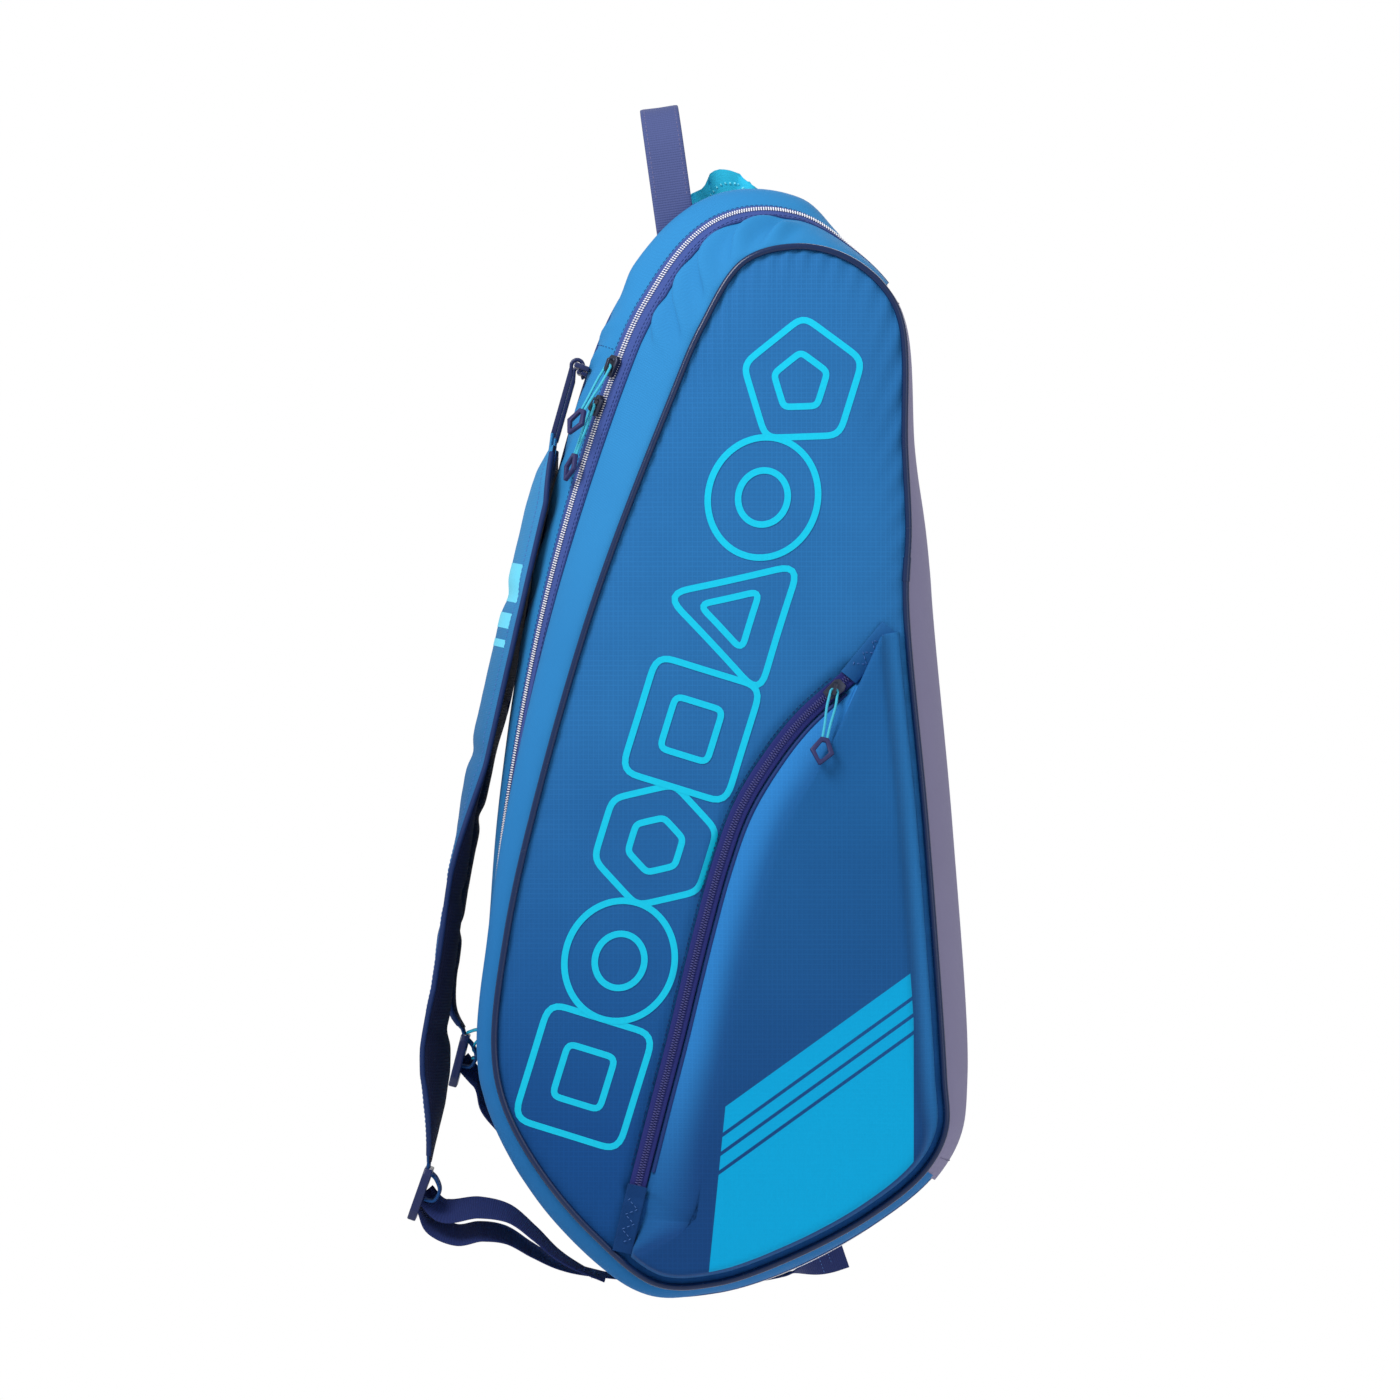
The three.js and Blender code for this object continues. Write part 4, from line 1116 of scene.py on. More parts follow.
@dataclass
class Gusset:
    """The soft strips that run round a compartment, from the piping to the middle of the bag."""

    rounding: float = 1.6            # how far each strip puffs out between its seams
    slump: float = 5.5               # how far the front strip sags over the zip at the heel side
    fold: float = 6.4                # depth of the folds at the top left
    crown: float = 5.0               # how far the rear strip stands up beside the mouth
    pucker: float = 0.45             # depth of the gathers along a seam
    pucker_pitch: float = 11.0

    def puff(self, place: Array, y: Array) -> Array:
        """How far the cloth stands off its plain shape at places and depths."""
        depth = np.abs(y)
        front = np.clip((LID_EDGE - depth) / (LID_EDGE - FRONT_SEAM), 0, 1)
        rear = np.clip((REAR_SEAM - depth) / (REAR_SEAM - DIVIDER_Y), 0, 1)
        where = np.stack(np.broadcast_arrays(place * 26.0, y * 1.3, 0 * place), axis=-1)
        lumps = cloud(where, 34.0, 3.1)
        fine = cloud(where, 11.0, 8.4)
        sag = self.slump * window(place, 14.6, 20.2, 1.6)
        swell = (self.rounding + sag) * np.sin(math.pi * front) ** 0.8
        swell = swell + self.rounding * np.sin(math.pi * rear) ** 0.8
        inner = np.sin(math.pi * front) + np.sin(math.pi * rear)
        swell = swell + inner * (0.9 * lumps + 0.35 * fine)
        crease = np.sin(place * 11.0 + depth * 0.35 + 1.5 * lumps)
        folded = window(place, 22.9, 24.7, 0.5) * np.sin(math.pi * front) * self.fold
        swell = swell + folded * np.clip(crease, -0.45, 1)
        crown = self.crown * window(place, 23.35, 25.15, 0.5) - 1.6 * window(place, 25.9, 26.9, 0.3)
        swell = swell + crown * np.sin(math.pi * rear) ** 0.8
        waist = window(place, 20.9, 22.6, 0.4) * np.sin(math.pi * rear) * 1.2
        swell = swell + waist * np.sin(place * 17.0 - depth * 0.2)
        seam = np.exp(-np.minimum(np.abs(depth - LID_EDGE), np.abs(depth - DIVIDER_Y)) / 7.0)
        gather = np.sin(place * 26.0 * 2 * math.pi / self.pucker_pitch)
        return swell + self.pucker * gather * seam * (0.5 + lumps)

    def point(self, place: Array, y: Array) -> Array:
        """Points of the cloth's outer face."""
        return BAG.at(place, BAG.gusset(place, y) + self.puff(place, y), y)

    def outward(self, place: Array, y: Array) -> Array:
        """The way out of the cloth at places and depths."""
        plain = lambda p, d: BAG.at(p, BAG.gusset(p, d), d)
        along = plain(place + 0.03, y) - plain(place - 0.03, y)
        across = plain(place, y + 0.5) - plain(place, y - 0.5)
        out = np.cross(along, across)
        middle = np.array([0.0, 0.0, 350.0])
        away = plain(place, y) - middle
        return unit(out * np.sign((out * away).sum(axis=-1, keepdims=True)))

    def strip(self, name: str, side: Side, depths: Array, places: Array, *, sink: float = 0.0,
              thickness: float = WALL - 0.6, plain: bool = False) -> bpy.types.Object:
        """One strip of cloth with a thickness.

        Args:
            name: The piece's name.
            side: Which half of the bag.
            depths: Depths across the strip, from its face edge inwards.
            places: Outline places along it.
            sink: How far it lies under the gusset's face.
            thickness: Its thickness.
            plain: Whether it lies smooth, as tape does.

        Returns:
            The strip.
        """
        where, depth = np.meshgrid(places, side.value * depths, indexing="ij")
        offset = BAG.gusset(where, depth) - sink
        if not plain:
            offset = offset + self.puff(where, depth)
        edge = np.minimum(1.0, np.minimum(np.arange(len(depths)), np.arange(len(depths))[::-1]) / 1.5)
        tuck = 0.9 * (1 - edge) if not plain else 0 * edge
        outer = BAG.at(where, offset - tuck, depth)
        inner = BAG.at(where, BAG.gusset(where, depth) - sink - thickness, depth)
        return shell(name, outer, inner, lined=True)


GUSSET = Gusset()


@dataclass
class FaceSurface:
    """The padded face of a compartment: how far it stands out of the piping's plane."""

    crown: float = 2.6               # how far the padding rises inside the piping
    edge: float = 13.0               # over what distance it rises
    dip: float = 1.5                 # how far it sinks at the piping
    trough: float = -1.1             # its height beside the pocket's zip

    def height(self, x: Array, z: Array) -> Array:
        """Height over the piping's plane at points of the face."""
        distance = BAG.edge_distance(x, z)
        rise = 1 - np.exp(-np.maximum(distance - PIPING_R, 0) / self.edge)
        spot = np.stack(np.broadcast_arrays(x, 0 * x, z), axis=-1)
        broad = cloud(spot, 95.0, 5.5)
        small = cloud(spot * np.array([1.0, 1.0, 0.55]), 24.0, 1.5)
        angle = np.arctan2(z - 380.0, (x - 20.0) * 2.2)
        gather = np.sin(angle * 92.0) * np.exp(-distance / 9.0)
        upper = smooth_step(z, 430.0, 640.0)
        padded = (-self.dip + (self.crown + self.dip) * rise + 1.3 * broad * rise
                  + (0.35 + 0.25 * upper) * small * rise + (0.3 + 0.8 * upper) * gather)
        run = face_run(ZIP_RUN, np.linspace(0, 1, 70))
        near_zip = np.hypot(x[..., None] - run[:, 0], z[..., None] - run[:, 1]).min(axis=-1)
        clear = smooth_step(near_zip, POCKET_ZIP_WIDTH / 2 - 0.5, POCKET_ZIP_WIDTH / 2 + 6.0)
        return self.trough + (padded - self.trough) * clear


FACE = FaceSurface()


@dataclass
class Compartment(SidePart):
    """One racket compartment: its gusset strips, zip, piping and padded face."""

    coil_pitch: float = 1.7
    coil_reach: float = 2.9          # length of one coil tooth across the zip
    coil_out: float = 0.7            # coil's middle above the tape
    row_pitch: float = 3.6           # spacing of points along the strips
    seam_place: float = 22.32        # outline place of the seam across the rear strip
    face_rows: int = 210
    face_columns: int = 96
    # the cloth hinge's section: distance behind the lid's edge, and depth under the spine panel
    hinge_section: tuple[tuple[float, float], ...] = (
        (9, 0.4), (2.2, 0.4), (1.6, 0.42), (1.1, 0.5), (0.6, 0.7), (0.2, 1.1), (0.15, 3), (0.15, 9),
        (0.55, 9), (0.55, 3), (0.8, 1.5), (1.4, 1.1), (2.2, 1.0), (9, 1.0))

    def along(self) -> Array:
        """Evenly spaced places along the gusset, heel to shoulder."""
        return spaced(HEEL, WRAP, self.row_pitch, BAG.crest)

    def gussets(self) -> None:
        """The front and rear strips of cloth."""
        places = self.along()
        for part, start, end, body in (
                ("front_gusset", LID_EDGE, FRONT_SEAM, self.lid),
                ("rear_gusset", ZIP_Y - 5.5, DIVIDER_Y + GAP, "root")):
            strip = GUSSET.strip(self.name(part + "_cloth"), self.side, np.linspace(start, end, 17), places)
            fit(dress(strip, Finish.GUSSET), body, "gusset_fabric", self.name(part))

    def seams(self) -> None:
        """The welt beside the zip, and the seam across the rear strip beside the sliders."""
        places = self.along()
        edge = self.side.value * (FRONT_SEAM + 1.3 + 0 * places)
        welt = SWEEP.run(self.name("zip_welt"), GUSSET.point(places, edge), 0.75, Finish.THREAD, sides=8)
        fit(welt, self.lid, "gusset_fabric")
        y = self.side.value * np.linspace(ZIP_Y - 7, DIVIDER_Y + 2, 40)
        place = self.seam_place + 0 * y
        row = STITCHER.sew(self.name("rear_cross_stitches"), GUSSET.point(place, y),
                           GUSSET.outward(place, y), Finish.THREAD)
        fit(row, "root", "gusset_fabric")

    def zip(self) -> None:
        """The compartment zip's tapes, its two rows of coil and their stitching."""
        places = self.along()
        teeth = small_shape("coil_tooth", (self.coil_reach / 2, 0.52, 0.75), rings=2, sides=6, fullness=1)
        for part, start, end, body, shift in (
                ("front_zip_tape", ZIP_Y + TAPE_WIDTH, ZIP_Y + GAP / 2, self.lid, 0.0),
                ("rear_zip_tape", ZIP_Y - GAP / 2, ZIP_Y - TAPE_WIDTH, "root", 0.5)):
            tape = GUSSET.strip(self.name(part + "_weave"), self.side, np.linspace(start, end, 7),
                                places, sink=0.8, thickness=1.4, plain=True)
            fit(dress(tape, Finish.TAPE), body, "zip_tape", self.name(part))
            sign = 1 if start > ZIP_Y + 1 else -1
            middle = self.side.value * (ZIP_Y + sign * self.coil_reach * 0.36)
            spots = spaced(HEEL + 0.02, WRAP - 0.02, self.coil_pitch,
                           lambda p: BAG.at(p, BAG.gusset(p, middle + 0 * p), middle))
            spots = spots + shift * (spots[1] - spots[0])
            spots = spots[:-1]
            out = GUSSET.outward(spots, middle + 0 * spots)
            at = BAG.at(spots, BAG.gusset(spots, middle + 0 * spots) - 0.8, middle) + out * self.coil_out
            along = BAG.at(spots + 0.03, BAG.gusset(spots + 0.03, middle + 0 * spots), middle) - at
            across = np.cross(out, along)
            coil = REPEAT.run(self.name(part.replace("zip_tape", "zip_coil")), at, across, out,
                              teeth, Finish.COIL, spread=0.03)
            fit(coil, body, "zip_tape")
            for seam in (0.9, 2.6):
                depth = start - seam if sign > 0 else end + seam
                y = self.side.value * (depth + 0 * places)
                line = BAG.at(places, BAG.gusset(places, y) - 0.75, y)
                row = STITCHER.sew(self.name(f"{part}_stitches_{'ab'[seam > 1]}"), line,
                                   GUSSET.outward(places, y), Finish.THREAD)
                fit(row, body, "zip_tape")

    def piping(self) -> None:
        """The glossy piping round the face and its joining sleeve."""
        places = spaced(0, TURN, 2.6, BAG.line)[:-1]
        y = self.side.value * HALF_DEPTH
        cord = SWEEP.run(self.name("piping_cord"), BAG.at(places, 0, y), PIPING_R, Finish.PIPING,
                         sides=14, closed=True)
        fit(cord, self.lid, "piping", self.name("piping"))
        sleeve = np.linspace(5.42, 5.78, 12)
        ring = SWEEP.run(self.name("piping_sleeve"), BAG.at(sleeve, 0, y), PIPING_R + 0.45,
                         Finish.PIPING, sides=14)
        fit(ring, self.lid, "piping")

    def face(self) -> None:
        """The padded face panel."""
        share = (1 - np.cos(np.linspace(0, math.pi, self.face_rows))) / 2
        share = 0.75 * np.linspace(0, 1, self.face_rows) + 0.25 * share
        right = self.half_edge(FOOT_PLACE, TOP_PLACE - TURN, share)
        left = self.half_edge(FOOT_PLACE, TOP_PLACE, share)
        across = (1 - np.cos(np.linspace(0, math.pi, self.face_columns))) / 2
        across = 0.6 * np.linspace(0, 1, self.face_columns) + 0.4 * across
        sheet = left[:, None] + (right - left)[:, None] * across[None, :, None]
        x, z = sheet[..., 0], sheet[..., 2]
        outer = sheet.copy()
        outer[..., 1] = self.side.value * (HALF_DEPTH + FACE.height(x, z))
        inner = sheet.copy()
        inner[..., 1] = self.side.value * (LID_EDGE + 0.1)
        panel = shell(self.name("face_padding"), outer, inner, layout=Layout.FLAT, lined=True)
        fit(dress(panel, Finish.FACE), self.lid, "face_fabric", self.name("face_panel"))

    @staticmethod
    def half_edge(start: float, end: float, share: Array) -> Array:
        """The face panel's edge from its foot to its top, by shares of its length."""
        inset = -PIPING_R + 0.5
        trial = np.linspace(start, end, 600)
        run = lengths(BAG.at(trial, inset, 0 * trial))
        place = np.interp(share * run[-1], run, trial)
        return BAG.at(place, inset, 0 * place)

    def hinge(self) -> None:
        """The cloth hinge inside the piping, from the spine panel to the lid."""
        places = spaced(SHOULDER - 0.05, HEEL + 0.05, 4.0, BAG.crest)
        shape = np.array(self.hinge_section)
        where, back = np.meshgrid(places, shape[:, 0], indexing="ij")
        depth = self.side.value * (LID_EDGE - back)
        offset = BAG.gusset(where, depth) - WALL - shape[None, :, 1]
        inside = np.ones(where.shape)
        piece = loft(self.name("lid_hinge_cloth"), BAG.at(where, offset, depth), extra={"inside": inside})
        dress(piece, Finish.GUSSET)
        start, end = (np.array([0.0, self.side.value * (LID_EDGE - reach), 350.0]) for reach in (2.2, 0.6))
        bend(piece, "gusset_fabric", ("root", self.lid), to_frame(start), to_frame(end))

    def build(self) -> None:
        """Makes the whole compartment."""
        self.hinge()
        self.gussets()
        self.seams()
        self.zip()
        self.piping()
        self.face()


@dataclass
class FacePrint(SidePart):
    """A chain of outlined shapes that climbs the face, each with a hole in the middle."""

    start: tuple[float, float] = (-92.0, 112.0)      # middle of the chain's lower end, X and Z
    end: tuple[float, float] = (80.0, 668.0)
    half_width: float = 37.5
    stroke: float = 4.5
    thickness: float = 0.3

    class Form(Enum):
        """Outline rules, as sides of a rounded polygon and its turn in degrees."""

        BALL = (0, 0.0)
        HEX = (6, 0.0)
        BLOCK = (4, 45.0)
        GEM = (4, 0.0)
        SHIELD = (3, 90.0)
        PENTA = (5, 90.0)

    CHAIN = (Form.BLOCK, Form.BALL, Form.HEX, Form.BLOCK, Form.SHIELD, Form.BALL, Form.PENTA)

    def outline(self, form: "FacePrint.Form", reach: float, roundness: float) -> Array:
        """A closed shape about the origin, as steps along and across the chain."""
        angle = np.linspace(0, 2 * math.pi, 96, endpoint=False)
        sides, turn = form.value
        if sides:
            part = np.mod(angle + math.radians(turn), 2 * math.pi / sides) - math.pi / sides
            flat = math.cos(math.pi / sides) / np.cos(part)
            radius = (flat ** -8 * (1 - roundness) + roundness) ** -0.125
            kernel = np.hanning(9)
            ring = np.concatenate([radius[-4:], radius, radius[:4]])
            radius = np.convolve(ring, kernel / kernel.sum(), mode="valid")
        else:
            radius = np.ones_like(angle)
        shape = np.stack([radius * np.cos(angle), radius * np.sin(angle)], axis=1)
        low, high = shape.min(axis=0), shape.max(axis=0)
        return reach * (shape * 2 - low - high) / (high - low)

    def stroke_piece(self, name: str, line: Array, above: float) -> bpy.types.Object:
        """A printed stroke along a closed line on the face, X and Z, laid over its neighbours."""
        ahead = np.roll(line, -1, axis=0) - np.roll(line, 1, axis=0)
        sideways = unit(np.stack([-ahead[:, 1], ahead[:, 0]], axis=1))
        rings = []
        for shift, lift in ((-1, -0.4), (-1, 1), (-0.33, 1), (0.33, 1), (1, 1), (1, -0.4)):
            spot = line + sideways * shift * self.stroke / 2
            height = FACE.height(spot[:, 0], spot[:, 1]) + lift * (self.thickness + above)
            rings.append(np.stack([spot[:, 0], self.side.value * (HALF_DEPTH + height), spot[:, 1]], axis=1))
        return loft(name, np.stack(rings, axis=1), closed=True, layout=Layout.FLAT)

    def build(self) -> None:
        """Prints the chain on the face."""
        foot, head = np.array(self.start), np.array(self.end)
        run = head - foot
        way = unit(run)
        beside = np.array([way[1], -way[0]])
        pitch = np.linalg.norm(run) / len(self.CHAIN)
        strokes = []
        for index, form in enumerate(self.CHAIN):
            middle = foot + way * pitch * (index + 0.5)
            for part, share, hole in (("rim", 1.0, False), ("hole", 0.45, True)):
                shape = self.outline(form, pitch / 2 * share, 0.08 if not hole else 0.15)
                wide = self.half_width / (pitch / 2)
                line = middle + shape[:, :1] * way + shape[:, 1:] * wide * beside
                strokes.append(self.stroke_piece(self.name(f"{part}_{index}"), line, index % 2 * 0.2))
        printed = join_meshes(self.name("face_print"), strokes)
        fit(dress(printed, Finish.INK), self.lid, "cyan_fabric")


# ---------------------------------------------------------------- the moulded pocket

ZIP_RUN = ((0.790, 0.588), (0.680, 0.545), (0.600, 0.500), (0.545, 0.459), (0.501, 0.406),
           (0.467, 0.353), (0.434, 0.296), (0.401, 0.237), (0.361, 0.171), (0.317, 0.097))
CREASE_RUN = ((0.727, 0.504), (0.629, 0.429), (0.579, 0.349), (0.536, 0.276), (0.494, 0.184),
              (0.466, 0.129), (0.459, 0.062))


def face_run(shares: Sequence[tuple[float, float]], t: Array) -> Array:
    """Points along a line on the face given as shares of its width and height, X and Z."""
    points = np.array([(FACE_LEFT + a * FACE_WIDTH, FACE_FOOT + b * FACE_HEIGHT) for a, b in shares])
    return catmull(points, np.asarray(t, float) * (len(points) - 1))


def beside_run(shares: Sequence[tuple[float, float]], t: Array, distance: Array) -> Array:
    """Points a distance to the pocket's side of a line on the face."""
    step = 0.01
    ahead = unit(face_run(shares, np.minimum(t + step, 1)) - face_run(shares, np.maximum(t - step, 0)))
    right = np.stack([-ahead[..., 1], ahead[..., 0]], axis=-1)
    return face_run(shares, t) + right * np.asarray(distance)[..., None]


@dataclass
class Pocket(SidePart):
    """The moulded side pocket, its zip and the cloth garages at the zip's ends."""

    rim: float = 6.0                 # pocket's edge inside the piping
    shoulder: float = 20.0           # pocket's flat inside the piping, at the spine side
    foot: float = 10.0               # and at the foot
    top_place: float = 6.17
    foot_place: float = 14.5
    rows: int = 150
    columns: int = 110
    tooth_pitch: float = 1.8
    zip_height: float = 2.2

    def lift(self, flat: Array, height: Array) -> Array:
        """Points over the face, from X and Z and a height over the piping's plane."""
        y = self.side.value * (HALF_DEPTH + height + 0 * flat[..., 0])
        return np.stack([flat[..., 0], y, flat[..., 1]], axis=-1)

    def edges(self, t: Array) -> tuple[Array, Array, Array, Array]:
        """Rim and crease on the zip's side, then crease and rim on the piping's side."""
        place = self.top_place + (self.foot_place - self.top_place) * t
        rim_zip = beside_run(ZIP_RUN, t, POCKET_ZIP_WIDTH / 2 + GAP + 0 * t)
        crease_zip = beside_run(CREASE_RUN, t, 0 * t)
        inset = self.shoulder + (self.foot - self.shoulder) * smooth_step(place, HEEL - 1.6, HEEL)
        crease_out = BAG.at(place, -inset, 0 * t)[..., [0, 2]]
        rim_out = BAG.at(place, -self.rim, 0 * t)[..., [0, 2]]
        return rim_zip, crease_zip, crease_out, rim_out

    def panel(self) -> None:
        """The moulded panel: a raised flat with bevels down to its stitched rim."""
        t = np.linspace(0, 1, self.rows)
        rim_zip, crease_zip, crease_out, rim_out = self.edges(t)
        wall, top = 5.0, POCKET_PROUD
        base = 0.3
        stops = ((rim_zip, base), (rim_zip * 0.9 + crease_zip * 0.1, wall),
                 (crease_zip, top), (crease_out, top), (rim_out * 0.86 + crease_out * 0.14, wall),
                 (rim_out, base))
        spots = np.stack([np.column_stack([flat, np.full(len(t), h)]) for flat, h in stops], axis=1)
        share = np.linspace(0, 1, self.columns)
        sheet = np.stack([self.section(row, share) for row in spots])
        bottom = sheet[:, :1] + (sheet[:, -1:] - sheet[:, :1]) * share[None, :, None]
        closing = np.linspace(1, 0, 7)[:-1, None, None] ** 1.3
        first = sheet[:1] + (bottom[:1] - sheet[:1]) * closing
        last = sheet[-1:] + (bottom[-1:] - sheet[-1:]) * closing[::-1]
        whole = np.concatenate([first, sheet, last])
        whole = self.soften(whole)
        flat, height = whole[..., :2], whole[..., 2]
        spot = np.stack([flat[..., 0], 0 * height, flat[..., 1]], axis=-1)
        raised = np.clip(height / top, 0, 1)
        height = height + raised * 0.5 * cloud(spot, 60.0, 4.4)
        outer = self.lift(flat, height)
        under = self.lift(whole[:, ::-1, :2], 0 * height + base - 0.25)
        rings = np.concatenate([outer, under], axis=1)
        # Painted highlight: the bevels, more of them higher up, are marked in the inside share so that they take
        # the pocket cloth's lighter second colour.
        bevel = 1 - smooth_step(raised, 0.25, 0.97)
        bevel = bevel * (0.35 + 0.65 * smooth_step(flat[..., 1], 50.0, 190.0))
        extra = {"raised": np.concatenate([(raised - 0.9) * 30, -9 + 0 * raised], axis=1),
                 "inside": np.concatenate([bevel, bevel[:, ::-1]], axis=1)}
        panel = loft(self.name("pocket_moulding"), rings, layout=Layout.FLAT, extra=extra)
        fit(dress(panel, Finish.POCKET), self.lid, "pocket_fabric", self.name("pocket_panel"))

    @staticmethod
    def section(stops: Array, share: Array) -> Array:
        """A line through stops, read by shares of its length."""
        run = lengths(stops)
        return read_row(share * run[-1], run, stops)

    @staticmethod
    def soften(points: Array) -> Array:
        """Rounds the creases of a sheet, keeping its edges."""
        for _ in range(7):
            inner = points[1:-1, 1:-1]
            across = (points[1:-1, :-2] + points[1:-1, 2:]) / 2
            along = (points[:-2, 1:-1] + points[2:, 1:-1]) / 2
            points[1:-1, 1:-1] = inner * 0.4 + across * 0.35 + along * 0.25
        return points

    def zip(self) -> None:
        """The pocket zip: tape, coil on both sides of its middle, and stitches."""
        t = np.linspace(0, 1, 120)
        spine = self.lift(face_run(ZIP_RUN, t), self.zip_height / 2 + 0.2 + 0 * t)
        out = np.array([0.0, self.side.value, 0.0])
        ahead = np.gradient(spine, axis=0)
        side_way = np.cross(out, ahead)
        tape = loft(self.name("pocket_zip_weave"),
                    band(spine, side_way, POCKET_ZIP_WIDTH - 0.5, self.zip_height, corner=0.2, points=10))
        fit(dress(tape, Finish.POCKET_TAPE), self.lid, "pocket_zip", self.name("pocket_zip"))
        tooth = small_shape("pocket_tooth", (1.8, 0.6, 0.95), rings=2, sides=6, fullness=1)
        places = spaced(0.005, 0.995, self.tooth_pitch, lambda s: self.lift(face_run(ZIP_RUN, s), 0 * s))
        rows = []
        for sign in (-1, 1):
            where = places + (sign > 0) * 0.5 * (places[1] - places[0])
            at = self.lift(face_run(ZIP_RUN, np.minimum(where, 1)), self.zip_height + 0.5 + 0 * where)
            ahead = np.gradient(at, axis=0)
            across = np.cross(out, unit(ahead))
            rows.append(REPEAT.run(self.name(f"pocket_teeth_{sign}"), at + across * sign * 1.05,
                                   across, out, tooth, Finish.POCKET_COIL, spread=0.03))
        coil = join_meshes(self.name("pocket_zip_coil"), rows)
        fit(coil, self.lid, "pocket_zip")
        half = POCKET_ZIP_WIDTH / 2
        for label, distance in (("outer", -half - 1.6), ("inner", half + 2.2)):
            flat = beside_run(ZIP_RUN, t[3:-3], distance + 0 * t[3:-3])
            if label == "outer":
                height = FACE.height(flat[:, 0], flat[:, 1]) + 0.1
                row = STITCHER.sew(self.name("pocket_stitches_outer"), self.lift(flat, height), out,
                                   Finish.THREAD)
                fit(row, self.lid, "pocket_zip")
            else:
                lip = SWEEP.run(self.name("pocket_zip_lip"), self.lift(flat, 3.0 + 0 * flat[:, 0]), 1.6,
                                Finish.THREAD, sides=10)
                fit(lip, self.lid, "pocket_fabric")

    def garages(self) -> None:
        """The cloth tabs that cover the zip's two ends, with their zigzag stitches."""
        out = np.array([0.0, self.side.value, 0.0])
        for end, t, place, sign in (("upper", 0.0, self.top_place, 1), ("lower", 1.0, self.foot_place, -1)):
            zip_end = beside_run(ZIP_RUN, np.array(t), np.array(POCKET_ZIP_WIDTH / 2 + GAP))
            piping_end = BAG.at(np.array(place), -self.rim, 0.0)[[0, 2]]
            run = unit(piping_end - zip_end)
            beside = np.array([-run[1], run[0]]) * sign
            start = zip_end + beside * (POCKET_ZIP_WIDTH / 2 + GAP) - run * 1.0
            stop = piping_end + beside * (POCKET_ZIP_WIDTH / 2 + GAP) - run * 2.0
            share = np.linspace(0, 1, 26)[:, None]
            flat = start + (stop - start) * share
            surface = FACE.height(flat[:, 0], flat[:, 1])
            arch = 2.6 + 1.4 * np.exp(-share[:, 0] * 5)
            spine = self.lift(flat, np.maximum(surface, 0.2) + arch)
            side_way = np.array([beside[0], 0.0, beside[1]]) + 0 * spine
            tab = loft(self.name(f"pocket_garage_{end}_tab"),
                       band(spine, side_way, POCKET_ZIP_WIDTH + 1.5, 2.2, corner=0.2, points=12, arch=0.8))
            fit(dress(tab, Finish.GARAGE), self.lid, "webbing",
                self.name(f"pocket_garage_{end}"))
            sweep = np.linspace(0.2, 0.85, 60)[:, None]
            zigzag = np.abs(np.mod(sweep * 9, 2) - 1) - 0.5
            line = start + (stop - start) * sweep + beside * zigzag * POCKET_ZIP_WIDTH * 0.62
            level = np.maximum(FACE.height(line[:, 0], line[:, 1]), 0.2) + 4.3
            row = STITCHER.sew(self.name(f"pocket_garage_{end}_zigzag"), self.lift(line, level), out,
                               Finish.PALE_THREAD)
            fit(row, self.lid, "webbing")

    def build(self) -> None:
        """Makes the whole pocket."""
        self.panel()
        self.zip()
        self.garages()


# ---------------------------------------------------------------- hardware

def joint_of(name: str) -> dict:
    """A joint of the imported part."""
    return next(joint for joint in frame["joints"] if joint["name"] == name)


def rounded_copy(name: str, node: str, finish: Finish, edge: float, *, steps: int = 2,
                 ) -> bpy.types.Object:
    """A CAD node's shape with its edges rounded as a moulding's or casting's are.

    Args:
        name: The piece's name.
        node: The node that it is a copy of.
        finish: What it is made of.
        edge: How far the rounding reaches, in millimetres.
        steps: Faces in each rounding.

    Returns:
        The rounded piece.
    """
    mesh = frame["nodes"][node].data.copy()
    mesh.name = name
    work = bmesh.new()
    work.from_mesh(mesh)
    bmesh.ops.remove_doubles(work, verts=work.verts, dist=2e-6)
    bmesh.ops.dissolve_limit(work, angle_limit=math.radians(1.5), verts=work.verts, edges=work.edges)
    sharp = [e for e in work.edges if e.is_manifold and e.calc_face_angle(0) > math.radians(20)]
    bmesh.ops.bevel(work, geom=sharp, offset=edge * MM, offset_type="OFFSET", segments=steps,
                    profile=0.5, affect="EDGES", clamp_overlap=True)
    bmesh.ops.recalc_face_normals(work, faces=work.faces)
    work.to_mesh(mesh)
    work.free()
    for layer in list(mesh.uv_layers):
        mesh.uv_layers.remove(layer)
    mesh.shade_smooth()
    mesh.set_sharp_from_angle(angle=math.radians(35))
    return dress(as_object(name, mesh), finish)


